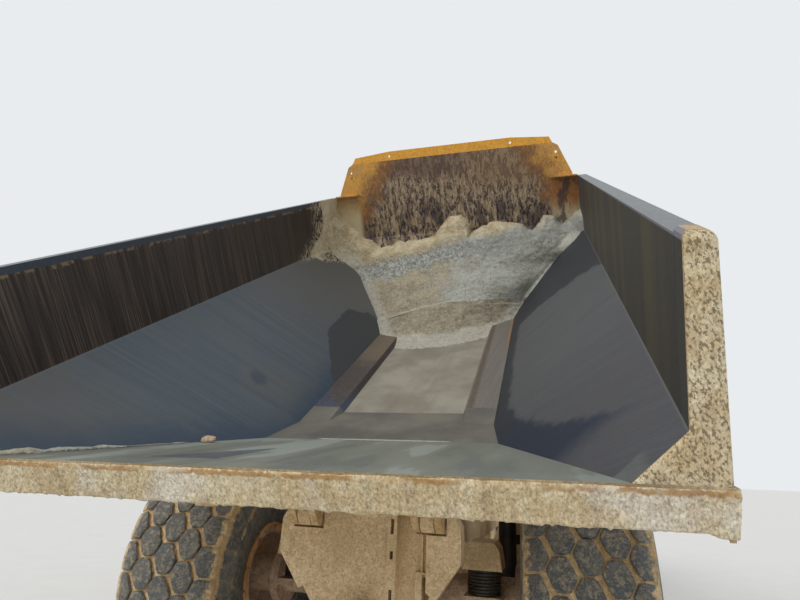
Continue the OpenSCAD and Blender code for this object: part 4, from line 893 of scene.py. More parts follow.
def lens_material(name, color):
    """Moulded lamp lens: fine upright flutes under a film of dust."""
    material, at, normal = new_material(name)
    flutes = put(at.tree, "ShaderNodeTexWave", {"Vector": at, "Scale": 60.0}, bands_direction="X")["Fac"]
    dust = dusty(at, normal, 0.4)
    tint = mixed(dust * 0.5, color, "b9ab92")
    rough = 0.06 + dust * 0.4
    return finish(material, tint, rough, flutes, 0.001, Coat_Weight=0.6)


def cloth_material():
    """Woven seat cloth: two crossed sets of threads and dusty patches."""
    material, at, _ = new_material("seat cloth")
    across = put(at.tree, "ShaderNodeTexWave", {"Vector": at, "Scale": 220.0}, bands_direction="X")["Fac"]
    up = put(at.tree, "ShaderNodeTexWave", {"Vector": at, "Scale": 220.0}, bands_direction="Z")["Fac"]
    weave = across * up
    color = mixed(weave, "24272b", "4a4e52")
    color = mixed(band(noise(at, 9.0), 0.5, 0.8), color, "6d6455")
    return finish(material, color, 0.9, weave, 0.0008, Sheen_Weight=0.3)


INNER_SIDES = inner_side_group()
FLOOR_STEEL = floor_group()
SIDE = side_material()
FLOOR = floor_material()
TAIL = tail_material()
HEADBOARD = headboard_material()
BODY_MUD = body_mud_material()
TYRE = tyre_material()
GLASS = glass_material()
CLOTH = cloth_material()
TAIL_MUD = tail_mud_material()
FRAME_MUD = mud_material("frame mud", "ebd0a4", "cdb082", 0.9)
AXLE_MUD = mud_material("axle mud", "dbbd9f", "ab8e73", 0.8)
YELLOW = painted("yellow paint", "cf9325", 0.42)
RIM_PAINT = rim_material()
BODY_BEAMS = body_beams_material()
DARK = steel("dark steel", "33363a", "4a4744", 0.50)
BLACK = steel("black fittings", "1d1e20", "2b2b2b", 0.36, 0.0)
RUBBER = steel("moulded rubber", "232425", "353431", 0.40, 0.0)
CHROME = steel("hard chrome", "b9bdc0", "9a9c9c", 0.12, 0.9)
LAMP = steel("lamp shell", "5a5c5e", "6c6e6e", 0.30, 0.3)
LENS = lens_material("clear lens", "e6ebec")
AMBER = lens_material("amber lens", "e08a1e")

CAD_FINISHES = {
    "rear_frame": FRAME_MUD, "axle_middle": AXLE_MUD, "axle_rear": AXLE_MUD, "walking_beams": FRAME_MUD,
    "rubber_springs": RUBBER, "drive_shafts": DARK, "hitch": DARK, "front_frame": DARK, "axle_front": DARK,
    "front_struts": BLACK, "engine": DARK, "bumper": DARK, "fenders": YELLOW, "cab_shell": YELLOW,
    "cab_roof": YELLOW, "cab_windows": GLASS, "seat": CLOTH, "controls": BLACK, "fuel_tank": DARK,
    "hydraulic_tank": YELLOW, "ladders": DARK, "mirrors": BLACK, "exhaust": DARK, "headlamps": LAMP,
    "hood": YELLOW, "grille": BLACK, "cab_door": YELLOW, "door_glass": GLASS, "bed_floor": FLOOR,
    "bed_side_left": SIDE, "bed_side_right": SIDE, "bed_tail": TAIL, "bed_headboard": HEADBOARD,
    "bed_guard": HEADBOARD, "bed_frame": BODY_BEAMS, "hoist_barrels": DARK, "hoist_sleeves": CHROME,
    "hoist_rods": CHROME, "steer_barrel_left": DARK, "steer_barrel_right": DARK,
    "steer_rod_left": CHROME, "steer_rod_right": CHROME,
}
for name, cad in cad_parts.items():
    cad.data.materials.clear()
    cad.data.materials.append(CAD_FINISHES.get(name, RIM_PAINT if name.startswith("rim_") else TYRE))


# Caked mud in the front of the body


def smooth_path(points, count):
    """A path through the given points in even steps: a running average rounds its corners."""
    points = np.array(points, float)
    steps = np.concatenate([[0], np.cumsum(np.linalg.norm(np.diff(points, axis=0), axis=1))])
    at = np.linspace(0, steps[-1], count)
    path = np.stack([np.interp(at, steps, points[:, i]) for i in range(points.shape[1])], 1)
    width = max(3, count // 24)
    padded = np.pad(path, ((width, width), (0, 0)), mode="reflect", reflect_type="odd")
    kernel = np.ones(width * 2 + 1) / (width * 2 + 1)
    return np.stack([np.convolve(padded[:, i], kernel, "valid") for i in range(path.shape[1])], 1)


def side_reach(w):
    """Half the body's inside width at a height: valley, riser, shelf and sloping side, one by one."""
    return np.interp(w, [0.0, 0.045, SIDE_FOOT[1], SIDE_BREAK[1], RAIL[1]],
                     [VALLEY_HALF, VALLEY_HALF + 0.03, SIDE_FOOT[0], SIDE_BREAK[0], RAIL[0]])


def body_mud():
    """A cake of mud from the valley up the headboard: a path in v and w, swept across the body.

    At height w it lies further forwards by 0.35 (x/0.75)^2 + 0.25 x/0.75, fading as
    exp(-(w/0.45)^2), but stays 8 mm off the ramp behind it. Against a side it comes back by
    pull (1 - distance/0.15)^2. It is 15 mm thicker below an arc, noise lumps it, and under a
    ragged line on the headboard its thickness grows as a square root from nothing.
    """
    rows, cols = 190, 220
    path = smooth_path([(3.60, -0.012), (3.72, -0.002), (3.85, 0.012), (3.97, 0.035), (4.10, 0.09),
                        (4.22, 0.17), (4.35, 0.28), (4.52, 0.40), (4.70, 0.50), (4.86, 0.59), (4.99, 0.75),
                        (5.11, 0.93), (5.20, 1.08), (5.262, 1.22), (5.29, 1.36), (5.312, 1.46)], rows)
    slope = np.gradient(path, axis=0)
    slope /= np.linalg.norm(slope, axis=1, keepdims=True)
    v, w = path[:, :1], path[:, 1:]
    u = np.sin(np.linspace(-np.pi / 2, np.pi / 2, cols))[None, :]
    reach = side_reach(np.maximum(w, 0.0) + 0.03) + 0.012
    x = u * reach
    fade = np.exp(-((w / 0.45) ** 2))
    v = v + fade * (0.35 * (x / 0.75) ** 2 + 0.25 * (x / 0.75))
    ramp = np.interp(w, [0.0, 0.6, 1.0, 1.6], [4.70, 5.10, 5.30, 5.30]) - 0.008
    v = np.minimum(v, ramp)
    near = np.clip(1 - (reach - np.abs(x)) / 0.15, 0, 1) ** 2
    pull = np.where(x < 0, 0.55 * rise(w, 0.55, 0.97), 0.36 * rise(w, 0.62, 0.90) * rise(w, 1.35, 1.0))
    ragged = 0.12 * fractal(w * 9 + 5, x * 4, 31)
    v = v - near * pull * (1 + ragged)
    edge_x = [-1.5, -1.17, -0.95, -0.73, -0.5, -0.25, -0.17, -0.03, 0.10, 0.18, 0.21,
              0.39, 0.54, 0.67, 0.83, 0.91, 1.01, 1.10, 1.22, 1.30, 1.42, 1.52]
    edge_w = [1.30, 0.99, 0.88, 0.91, 0.94, 0.95, 1.07, 1.19, 1.22, 1.11, 0.96,
              1.05, 1.10, 1.07, 1.04, 0.95, 0.96, 1.12, 1.09, 1.00, 1.05, 1.13]
    edge_line = np.interp(x, edge_x, edge_w)
    edge_line = edge_line + 0.045 * fractal(x * 11, w * 11, 3) + 0.02 * near
    cover = np.sqrt(np.clip((edge_line - w) / 0.10, 0, 1))
    lumps = 0.014 * fractal(x * 5, (v + w) * 5, 11) + 0.010 * fractal(x * 22, (v + w) * 22, 12)
    arc = 0.018 * rise(0.275 - 0.19 * x * x - w, -0.012, 0.012)
    proud = (lumps + arc) * rise(w, -0.02, 0.10) + 0.005 * fractal(x * 40, (v + w) * 40, 13, 3)
    across_v, across_w = -slope[:, 1:], slope[:, :1]
    top_v = v + across_v * proud
    top_w = w + across_w * proud
    # Above the ragged line the skin dips behind the headboard's face
    wall = np.maximum(np.interp(top_w, [0.6, 1.0, 1.6], [5.10, 5.30, 5.30]) + 0.008, top_v)
    top_v = np.where(w > 0.7, top_v * cover + wall * (1 - cover), top_v)
    top = in_body(x, top_v, top_w)
    under = in_body(x, top_v - across_v * 0.012, top_w - across_w * 0.012)
    return slab(top, under)


def mud_piece(name, shape, material):
    make_piece(name, shape, material, "bed", smooth=60)


mud_piece("body_mud", body_mud(), BODY_MUD)


# Mud on the lip and the posts


def crust(x, w, proud, back):
    """A closed strip of mud: rows of x and w are its face, proud is how far that stands out, and back is
    how deep its two rear edges lie; each column of points runs down the face and up behind it, and the
    columns run towards smaller x."""
    face = in_body(x, -proud, w)
    rear = in_body(x[[-1, 0]], back, w[[-1, 0]])
    flat, faces = grid(np.concatenate([face, rear]), wrap_u=True)
    rows, cols = face.shape[0] + 2, face.shape[1]
    start = np.arange(rows)[None, :] * cols
    return flat, faces + [start, (start + cols - 1)[:, ::-1].copy()]


def lip_crust():
    """The lip's rear face: ribs that run down it and deepen downwards, lumps and grit on them, and a lower
    edge that hangs by noise of three sizes."""
    rows, cols = 42, 1100
    x = np.linspace(LIP_HALF + 0.006, -LIP_HALF - 0.006, cols)[None, :] * np.ones((rows, 1))
    down = np.linspace(0, 1, rows)[:, None]
    hang = 0.002 * value_noise(x * 9, 0.0, 41) + 0.009 * value_noise(x * 60, 0.0, 42) ** 3
    hang = hang + 0.016 * rise(x, 1.600, 1.635)
    top = LIP_RISE - 0.010 - 0.004 * fractal(x * 20, 0.0, 47, 3)
    w = top - down * (top - LIP_RISE + LIP_DROP + hang)
    ribs = 0.007 * fractal(x * 26, w * 4, 43, 3) * (0.4 + 0.6 * down)
    lumps = 0.005 * fractal(x * 45, w * 45, 44, 3) + 0.003 * fractal(x * 120, w * 120, 45, 2)
    round_off = rise(down, -0.02, 0.10) * rise(1 - down, -0.01, 0.09)
    proud = (0.011 + ribs + lumps) * round_off + 0.0015
    return crust(x, w, proud, 0.012)


def post_crust(sign):
    """A post's rear face: between its inner and outer edges, lumped by noise and thin at the rim."""
    rows, cols = 230, 70
    w = np.linspace(1.568, LIP_RISE - 0.01, rows)[:, None] * np.ones((1, cols))
    inner = np.interp(w, [0.73, 0.957, 1.558, 1.57], [1.332, 1.533, 1.507, 1.519]) + 0.002
    outer = np.interp(w, [0.776, 1.528], [1.66, 1.60])
    outer = outer - 0.042 * (1 - np.sqrt(np.clip(1 - (np.maximum(w - 1.528, 0) / 0.042) ** 2, 0, 1)))
    across = np.linspace(0, 1, cols)[None, :]
    x = inner + (np.maximum(outer, inner + 0.002) - inner) * across
    lumps = 0.005 * fractal(x * 14, w * 14, 51) + 0.004 * fractal(x * 50, w * 50, 52, 3)
    grit = 0.0025 * fractal(x * 130, w * 130, 53, 2)
    near_rim = np.minimum(x - inner, outer - x) / 0.018
    proud = (0.010 + lumps + grit) * np.sqrt(np.clip(near_rim, 0, 1)) * rise(1.568 - w, -0.004, 0.02)
    order = slice(None, None, -1) if sign > 0 else slice(None)
    x, w, proud = sign * x[:, order], w[:, order], proud[:, order]
    return slab(in_body(x, 0.011 - proud, w), in_body(x, 0.018, w))


mud_piece("lip_mud", lip_crust(), TAIL_MUD)
for side, sign in SIDES:
    mud_piece(f"post_mud_{side}", post_crust(sign), TAIL_MUD)


def stone():
    """A flat stone on the left of the tail: a ball of three half widths, lumped by noise."""
    up = np.linspace(-np.pi / 2, np.pi / 2, 26)[1:-1, None]
    turn = np.linspace(0, 2 * np.pi, 40, endpoint=False)[None, :]
    lump = 1 + 0.22 * fractal(np.cos(turn) * 1.5 + 3, np.sin(turn) * 1.5 + up, 71)
    x = -0.900 + 0.046 * np.cos(up) * np.cos(turn) * lump
    v = 1.000 + 0.034 * np.cos(up) * np.sin(turn) * lump
    w = 0.350 + 0.021 * np.sin(up) * lump
    flat, faces = capped(np.stack([x, v, w], -1))
    return in_body(*flat.T), faces


def ridge():
    """Mud pushed into the corner between the tail and the left plate: half an ellipse carried along that
    corner, whose width and height follow noise and die away forwards."""
    v = np.linspace(0.03, 0.95, 260)[:, None]
    w = LIP_RISE - v * (LIP_RISE - CREASE[1]) / CREASE[0]
    x = -(SIDE_FOOT[0] + (w - SIDE_FOOT[1]) / SIDE_SLOPE)
    size = 0.25 + 0.75 * value_noise(v * 16, 0.0, 61)
    size = size * (0.3 + 0.7 * rise(v, 0.62, 0.35)) * rise(0.95 - v, 0.0, 0.1)
    turn = np.linspace(0, 2 * np.pi, 20, endpoint=False)[None, :]
    lump = 1 + 0.3 * fractal(v * 40, turn * 2, 62)
    out = x + 0.018 + 0.050 * size * np.cos(turn) * lump
    up = w + 0.004 + 0.030 * size * np.sin(turn) * lump
    return capped(in_body(out, v + 0 * turn, up)[:, ::-1])


mud_piece("loose_stone", stone(), AXLE_MUD)
mud_piece("corner_mud", ridge(), BODY_MUD)


# Tyres

LUGS_ROUND = 30
LUG_PITCH = 0.143
LUG_SIDE = LUG_PITCH / 1.5
GROOVE = 0.034


def crown(x):
    """Radius of the tread at a distance from its middle: flat, then falling off to the shoulder."""
    return TYRE_R - 0.002 - 0.006 * (x / 0.25) ** 2 - 0.045 * rise(np.abs(x), 0.24, 0.36)


def polygon_ring(normals, offsets, angles):
    """How far a convex polygon's edge lies along each angle: the least of offset over cosine."""
    facing = np.cos(angles[:, None] - np.asarray(normals)[None, :])
    reach = np.where(facing > 1e-3, np.asarray(offsets)[None, :] / np.maximum(facing, 1e-3), 1e3)
    return reach.min(1)


def lug_outlines(count):
    """Outlines of the middle, left and right lugs in x and arc length, as radii at even angles."""
    angles = np.linspace(0, 2 * np.pi, count, endpoint=False)
    half = np.pi * (TYRE_R - GROOVE) / LUGS_ROUND
    lean = math.atan2(LUG_SIDE / 2, half)
    flank = LUG_SIDE * math.cos(lean)
    normals = [np.pi / 2, -np.pi / 2, lean, lean - np.pi, -lean, np.pi - lean]
    shoulder = 0.345 - 2 * LUG_PITCH
    middle = [half - 0.006, half - 0.006, flank - 0.016, flank - 0.016, flank - 0.006, flank - 0.006]
    rings = [polygon_ring(normals, middle, angles)]
    for out in (np.pi, 0.0):
        keep = [i for i, n in enumerate(normals) if math.cos(n - out) <= 0.1]
        rings.append(polygon_ring([normals[i] for i in keep] + [out],
                                  [middle[i] for i in keep] + [shoulder], angles))
    return angles, rings


def lug_blocks(seed):
    """All the lugs of a tyre: each is a hexagon with a rounded top edge, closed at the middle of its top
    and under the tread, bent round the tyre by angle = arc length / radius."""
    angles, rings = lug_outlines(24)
    scales = np.array([0.55, 0.86, 0.96, 1.0, 1.03])
    drops = np.array([0.0, 0.0008, 0.003, 0.010, GROOVE + 0.02])
    shapes = []
    for column in range(-2, 3):
        ring = rings[0 if abs(column) < 2 else (1 if column < 0 else 2)]
        turn = (np.arange(LUGS_ROUND) + 0.5 * (column % 2)) * 2 * np.pi / LUGS_ROUND
        reach = ring[None, :] * scales[:, None]
        x = column * LUG_PITCH + reach * np.cos(angles)
        arc = reach * np.sin(angles)
        theta = turn[:, None, None] + arc[None] / (TYRE_R - GROOVE)
        x = np.broadcast_to(x, theta.shape)
        worn = 0.003 * fractal(x * 14 + seed, theta * 13, 5 + column)
        radius = crown(x) - drops[None, :, None] + worn * (drops < 0.02)[None, :, None]
        points = np.stack([x, -radius * np.cos(theta), radius * np.sin(theta)], -1)
        count = len(angles)
        centre = points.mean(2, keepdims=True)[:, [0, -1]]
        cell = np.concatenate([centre[:, 0], points.reshape(LUGS_ROUND, -1, 3), centre[:, 1]], 1)
        step = np.arange(count)
        after = (step + 1) % count
        size = cell.shape[1]
        walls = [np.stack([1 + k * count + step, 1 + (k + 1) * count + step,
                           1 + (k + 1) * count + after, 1 + k * count + after], -1) for k in range(4)]
        quads = np.concatenate(walls)
        tops = np.stack([np.zeros(count, int), 1 + step, 1 + after], -1)
        bottoms = np.stack([np.full(count, size - 1), 1 + 4 * count + after, 1 + 4 * count + step], -1)
        start = np.arange(LUGS_ROUND)[:, None, None] * size
        tris = np.concatenate([tops, bottoms])
        faces = [(quads + start).reshape(-1, 4), (tris + start).reshape(-1, 3)]
        shapes.append((cell.reshape(-1, 3), faces))
    return joined(*shapes)


def tyre_carcass(seed):
    """The tyre without its lugs: a profile of radius and half width, turned about the axle."""
    half = [(0.3053, 0.2497), (0.352, 0.2497), (0.356, 0.262), (0.368, 0.272), (0.392, 0.281),
            (0.42, 0.300), (0.50, 0.331), (0.57, 0.352), (0.6475, 0.3720), (0.70, 0.3735),
            (0.7475, 0.3690), (0.79, 0.361), (0.828, 0.350), (0.858, 0.337), (0.882, 0.318),
            (0.895, 0.29), (0.902, 0.24), (0.903, 0.16), (0.904, 0.08), (0.904, 0.0)]
    profile = np.array(half + [(r, -x) for r, x in half[-2::-1]])
    turns = np.linspace(0, 2 * np.pi, 180, endpoint=False)
    r, x = profile[None, :, 0], profile[None, :, 1]
    tread = rise(r, 0.85, 0.90)
    wave = fractal(np.abs(((turns[:, None] / np.pi) % 2) - 1) * 24 + seed, x * 9, 21)
    r = r + tread * 0.007 * wave
    x = np.broadcast_to(x, r.shape)
    points = np.stack([x, -r * np.cos(turns[:, None]), r * np.sin(turns[:, None])], -1)
    return grid(points[:, ::-1], wrap_u=True, wrap_v=True)


def add_mud(piece, values):
    """Keeps how muddy each point is as an attribute that the material reads."""
    layer = piece.data.attributes.new("mud", "FLOAT", "POINT")
    layer.data.foreach_set("value", values.astype(np.float32))


def mud_on_tyre(x, radius, is_lug):
    """How muddy the rubber is: full grooves, muddy shoulders, and a bell of dust halfway up the wall."""
    groove = rise(crown(x) - radius, 0.004, 0.02)
    lug = 0.12 + 0.75 * groove + 0.45 * rise(np.abs(x), 0.27, 0.33)
    scuffed = np.exp(-((radius - 0.70) / 0.045) ** 2)
    wall = 0.12 + 0.36 * scuffed + 0.75 * rise(radius, 0.79, 0.86) - 0.12 * rise(radius, 0.44, 0.38)
    tread = 0.95 * rise(radius, 0.87, 0.895)
    return np.where(is_lug, lug, np.maximum(wall * (radius < 0.895), tread))


for seed, (row, y) in enumerate(WHEELS.items()):
    for side, sign in SIDES:
        lugs = lug_blocks(seed * 3 + sign)
        carcass = tyre_carcass(seed * 2 + sign)
        shape = joined(carcass, lugs)
        is_lug = np.arange(len(shape[0])) >= len(carcass[0])
        radius = np.hypot(shape[0][:, 1], shape[0][:, 2])
        mud = mud_on_tyre(shape[0][:, 0], radius, is_lug)
        tyre = make_piece(f"{row}_{side}_tyre", moved(shape, shift=(sign * TRACK_HALF, y, TYRE_R)), TYRE,
                          f"wheel_{row}_{side}", smooth=50)
        add_mud(tyre, mud)
        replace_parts(tyre, f"tyre_{row}_{side}")


# Rims and hubs


def lathe(profile, turns=96):
    """A closed section of radius and place along the axle, given anticlockwise, turned about the axle."""
    profile = np.array(profile, float)[::-1]
    angle = np.linspace(0, 2 * np.pi, turns, endpoint=False)[:, None]
    r, x = profile[None, :, 0], profile[None, :, 1]
    points = np.stack([x + 0 * angle, -r * np.cos(angle), r * np.sin(angle)], -1)
    return grid(points, wrap_u=True, wrap_v=True)


def turned(profile, corners=6):
    """A solid of closed rings along X, each given by its radius and its x, with both ends flat."""
    profile = np.array(profile, float)
    angle = np.linspace(0, 2 * np.pi, corners, endpoint=False)[None, :]
    r, x = profile[:, :1], profile[:, 1:]
    return capped(np.stack([x + 0 * angle, r * np.cos(angle), r * np.sin(angle)], -1))


def ring_of(shape, count, radius, phase=0.0):
    """Copies of a small piece set evenly round the axle at one radius, each turned with its place."""
    points, faces = shape
    turn = (np.arange(count) * 2 * np.pi / count + phase)[:, None]
    y, z = points[None, :, 1], points[None, :, 2] + radius
    placed = np.stack([points[None, :, 0] + 0 * turn, y * np.cos(turn) - z * np.sin(turn),
                       y * np.sin(turn) + z * np.cos(turn)], -1)
    start = np.arange(count)[:, None, None] * len(points)
    return placed.reshape(-1, 3), [(group[None] + start).reshape(-1, group.shape[1]) for group in faces]


def bolt_head(r, height):
    return [(r, 0.0), (r, height - 0.18 * r), (0.84 * r, height)]


def rim_shape():
    """Barrel with its flanges and lock ring, disc, hub, cover plate, wheel nuts and cover bolts."""
    inner_flange = [(0.3045, -0.200), (0.305, -0.247), (0.312, -0.2505), (0.340, -0.2505), (0.354, -0.252),
                    (0.360, -0.258), (0.362, -0.266), (0.360, -0.275), (0.353, -0.279), (0.345, -0.273),
                    (0.300, -0.272), (0.290, -0.270), (0.286, -0.262)]
    outer_flange = [(0.286, 0.262), (0.290, 0.270), (0.306, 0.2745), (0.312, 0.273), (0.3135, 0.267),
                    (0.316, 0.267), (0.318, 0.273), (0.345, 0.273), (0.353, 0.279), (0.360, 0.275),
                    (0.362, 0.266), (0.360, 0.258), (0.354, 0.252), (0.340, 0.2505), (0.312, 0.2505),
                    (0.305, 0.247), (0.3045, 0.200)]
    barrel = lathe([(0.286, -0.20), (0.280, -0.16), (0.280, 0.16), (0.286, 0.20)] + outer_flange
                   + [(0.297, 0.165), (0.297, -0.165)] + inner_flange, 120)
    disc = lathe([(0.18, 0.062), (0.18, 0.098), (0.242, 0.098), (0.262, 0.088), (0.284, 0.086),
                  (0.284, 0.072), (0.262, 0.072), (0.242, 0.062)])
    dish = lathe([(0.125, -0.066), (0.125, -0.054), (0.195, -0.054), (0.284, -0.092), (0.284, -0.104),
                  (0.195, -0.066)])
    weld = [lathe([(0.272, at), (0.276, at + 0.006), (0.282, at + 0.007), (0.282, at - 0.007),
                   (0.276, at - 0.006)]) for at in (0.069, 0.089)]
    hub = lathe([(0.1205, 0.0), (0.1205, 0.2205), (0.06, 0.2205), (0.06, 0.250), (0.126, 0.250),
                 (0.133, 0.247), (0.183, 0.207), (0.189, 0.199), (0.190, 0.120), (0.196, 0.106),
                 (0.236, 0.105), (0.240, 0.101), (0.240, 0.056), (0.236, 0.052), (0.194, 0.050),
                 (0.190, 0.044), (0.190, 0.006), (0.186, 0.0)])
    cover = turned([(0.112, 0.2215), (0.112, 0.256), (0.108, 0.260), (0.050, 0.260), (0.046, 0.263),
                    (0.030, 0.265)], 48)
    nuts = ring_of(moved(turned(bolt_head(0.017, 0.024)), shift=(0.104, 0, 0)), 20, 0.215)
    studs = ring_of(moved(turned([(0.009, 0.0), (0.009, 0.012), (0.007, 0.014)], 10), shift=(0.127, 0, 0)),
                    20, 0.215)
    small = ring_of(moved(turned(bolt_head(0.010, 0.009)), shift=(0.2595, 0, 0)), 12, 0.094, 0.13)
    rear_bolts = ring_of(moved(turned(bolt_head(0.010, 0.010)), np.diag([-1.0, 1.0, 1.0]), (0.0515, 0, 0)),
                         16, 0.215)
    plugs = ring_of(moved(turned(bolt_head(0.014, 0.010)), shift=(0.2595, 0, 0)), 2, 0.065, 0.6)
    return joined(barrel, disc, dish, *weld, hub, cover, nuts, studs, small, rear_bolts, plugs)


RIM_SHAPE = rim_shape()
for row, y in WHEELS.items():
    for side, sign in SIDES:
        shape = moved(RIM_SHAPE, np.diag([sign, 1.0, 1.0]), (sign * TRACK_HALF, y, TYRE_R))
        rim = make_piece(f"{row}_{side}_rim", shape, RIM_PAINT, f"wheel_{row}_{side}")
        radius = np.hypot(RIM_SHAPE[0][:, 1], RIM_SHAPE[0][:, 2])
        out = RIM_SHAPE[0][:, 0]
        mud = 0.72 - 0.42 * rise(radius, 0.292, 0.310) - 0.15 * rise(out, 0.12, 0.22) * (radius < 0.2)
        add_mud(rim, mud)
        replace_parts(rim, f"rim_{row}_{side}")


# Seat


def pillow(size):
    """A crowned cushion about the origin: a ball whose sines and cosines are raised to a small power, so
    that it fills its box and its sides pull in; x, y and z run from -size/2 to size/2."""
    rows, cols, square = 90, 120, 0.32
    up = np.linspace(-np.pi / 2, np.pi / 2, rows + 2)[1:-1, None]
    turn = np.linspace(0, 2 * np.pi, cols, endpoint=False)[None, :]

    def eased(value, power):
        return np.sign(value) * np.abs(value) ** power

    x = eased(np.cos(up), 0.55) * eased(np.cos(turn), square) * size[0] / 2
    y = eased(np.cos(up), 0.55) * eased(np.sin(turn), square) * size[1] / 2
    z = eased(np.sin(up), 0.85) * size[2] / 2 + 0 * x
    return capped(np.stack([x, y, z], -1))


def inflated(piece, cap):
    """Blows a cushion up as cloth, step by step, and keeps each point within cap metres of its start."""
    modifier = piece.modifiers.new("voxels", "REMESH")
    modifier.mode = "VOXEL"
    modifier.voxel_size = 0.007
    piece.data = bpy.data.meshes.new_from_object(piece.evaluated_get(bpy.context.evaluated_depsgraph_get()))
    piece.modifiers.clear()
    count = len(piece.data.vertices)
    before = np.empty(count * 3, np.float32)
    piece.data.vertices.foreach_get("co", before)
    cloth = piece.modifiers.new("cloth", "CLOTH")
    cloth.settings.use_pressure = True
    cloth.settings.uniform_pressure_force = 4.0
    cloth.settings.effector_weights.gravity = 0.0
    steps = 20
    cloth.point_cache.frame_end = steps
    for step in range(1, steps + 1):
        bpy.context.scene.frame_set(step)
    after = np.empty(count * 3, np.float32)
    piece.evaluated_get(bpy.context.evaluated_depsgraph_get()).data.vertices.foreach_get("co", after)
    piece.modifiers.clear()
    bpy.context.scene.frame_set(1)
    move = (after - before).reshape(-1, 3)
    far = np.linalg.norm(move, axis=1, keepdims=True)
    move *= np.minimum(1.0, cap / np.maximum(far, 1e-9))
    piece.data.vertices.foreach_set("co", (before.reshape(-1, 3) + move).ravel())


def sew(piece, depth_at):
    """Presses sewn lines into a cushion: each point moves along its normal by minus depth_at(x, y, z)."""
    count = len(piece.data.vertices)
    places, normals = np.empty(count * 3, np.float32), np.empty(count * 3, np.float32)
    piece.data.vertices.foreach_get("co", places)
    piece.data.vertices.foreach_get("normal", normals)
    places, normals = places.reshape(-1, 3), normals.reshape(-1, 3)
    places = places - normals * depth_at(*places.T)[:, None]
    piece.data.vertices.foreach_set("co", places.ravel())
    piece.data.update()


def cushion(name, size, lean, middle, sewn):
    """A padded piece: a pillow blown up as cloth, sewn, then leant back about X and put in its place."""
    piece = make_piece(name, pillow(size), CLOTH, "tractor", smooth=None)
    inflated(piece, 0.008)
    sew(piece, sewn)
    piece.data.transform(Matrix.Translation(middle) @ Matrix.Rotation(lean, 4, "X"))
    piece.data.materials.clear()
    piece.data.materials.append(CLOTH)
    piece.data.shade_smooth()
    return piece


def seams(value, places):
    """A groove at each place: depth exp(-((value - place)/width)^2)."""
    depth, width = 0.006, 0.007
    return sum(depth * np.exp(-(((value - place) / width) ** 2)) for place in places)


def panel_seams(x, y, half, cross):
    """Two seams along a cushion, half apart from its middle, and cross seams between them."""
    return seams(x, (-half, half)) + seams(y, (-cross, 0.0, cross)) * (np.abs(x) < half)


cushion("seat_cushion", (0.500, 0.520, 0.112), math.radians(2), (0.0, SEAT_REAR + 0.350, SEAT_TOP + 0.062),
        lambda x, y, z: panel_seams(x, y, 0.165, 0.13) * (z > 0))
cushion("seat_back", (0.490, 0.640, 0.098), math.radians(96), (0.0, SEAT_REAR + 0.100, SEAT_TOP + 0.430),
        lambda x, y, z: panel_seams(x, y, 0.16, 0.17) * (z < 0))


def loft(heights, sizes):
    """A solid of rounded rectangles, one above another, of half widths sizes[k] at heights[k]."""
    angle = np.linspace(0, 2 * np.pi, 48, endpoint=False)[None, :]
    half = np.array(sizes, float)
    c, s = np.cos(angle), np.sin(angle)
    x = np.sign(c) * np.abs(c) ** 0.35 * half[:, :1]
    y = np.sign(s) * np.abs(s) ** 0.35 * half[:, 1:]
    z = np.array(heights, float)[:, None] + 0 * x
    return capped(np.stack([x, y, z], -1))


def seat_base():
    """Floor plate, a bellows whose folds go in and out, and the pan under the cushion."""
    folds = np.arange(17)
    inset = 0.012 * (folds % 2)
    bellows = loft(0.035 + folds * 0.0145, np.stack([0.168 - inset, 0.172 - inset], 1))
    plate = loft([0.0, 0.004, 0.030, 0.034],
                 [(0.176, 0.176), (0.180, 0.180), (0.180, 0.180), (0.176, 0.176)])
    pan = loft([0.266, 0.270, 0.318, 0.326],
               [(0.172, 0.174), (0.178, 0.180), (0.180, 0.182), (0.174, 0.176)])
    return moved(joined(plate, bellows, pan), shift=(0.0, SEAT_REAR + 0.31, 1.95))


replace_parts(make_piece("seat_base", seat_base(), RUBBER, "tractor"), "seat")


# Small pieces of the cab, the nose and the hood

FORWARD = np.array([[0, -1, 0], [1, 0, 0], [0, 0, 1]])
UPWARD = np.array([[0, 0, -1], [0, 1, 0], [1, 0, 0]])


def tube(points, radius):
    """A round bar along a smooth path: one ring of points square to the path at each of its points."""
    path = smooth_path(points, 40)
    ahead = np.gradient(path, axis=0)
    ahead /= np.linalg.norm(ahead, axis=1)[:, None]
    side = np.cross(ahead, (0.36, 0.48, 0.80))
    side /= np.linalg.norm(side, axis=1)[:, None]
    up = np.cross(ahead, side)
    turn = np.linspace(0, 2 * np.pi, 10, endpoint=False)[None, :, None]
    return capped(path[:, None] + radius * (np.cos(turn) * side[:, None] + np.sin(turn) * up[:, None]))


def seal(middle, half_a, half_b, a):
    """A rubber seal round an upright window: an ellipse section carried round a rectangle with round
    corners, half_a to each side along a and half_b up and down."""
    a, b = np.array(a, float), np.array((0.0, 0.0, 1.0))
    bend = 0.05
    turn = (np.arange(4)[:, None] + np.linspace(0, 1, 8)[None, :]).ravel() * np.pi / 2
    out_a, out_b = np.cos(turn), np.sin(turn)
    sign_a, sign_b = np.repeat([1, -1, -1, 1], 8), np.repeat([1, 1, -1, -1], 8)
    path_a = sign_a * (half_a - bend) + bend * out_a
    path_b = sign_b * (half_b - bend) + bend * out_b
    path = np.array(middle) + path_a[:, None] * a + path_b[:, None] * b
    outwards = out_a[:, None] * a + out_b[:, None] * b
    around = np.linspace(0, 2 * np.pi, 10, endpoint=False)[None, :, None]
    section = 0.015 * np.cos(around) * outwards[:, None] - 0.008 * np.sin(around) * np.cross(a, b)
    return grid(path[:, None] + section, wrap_u=True, wrap_v=True)


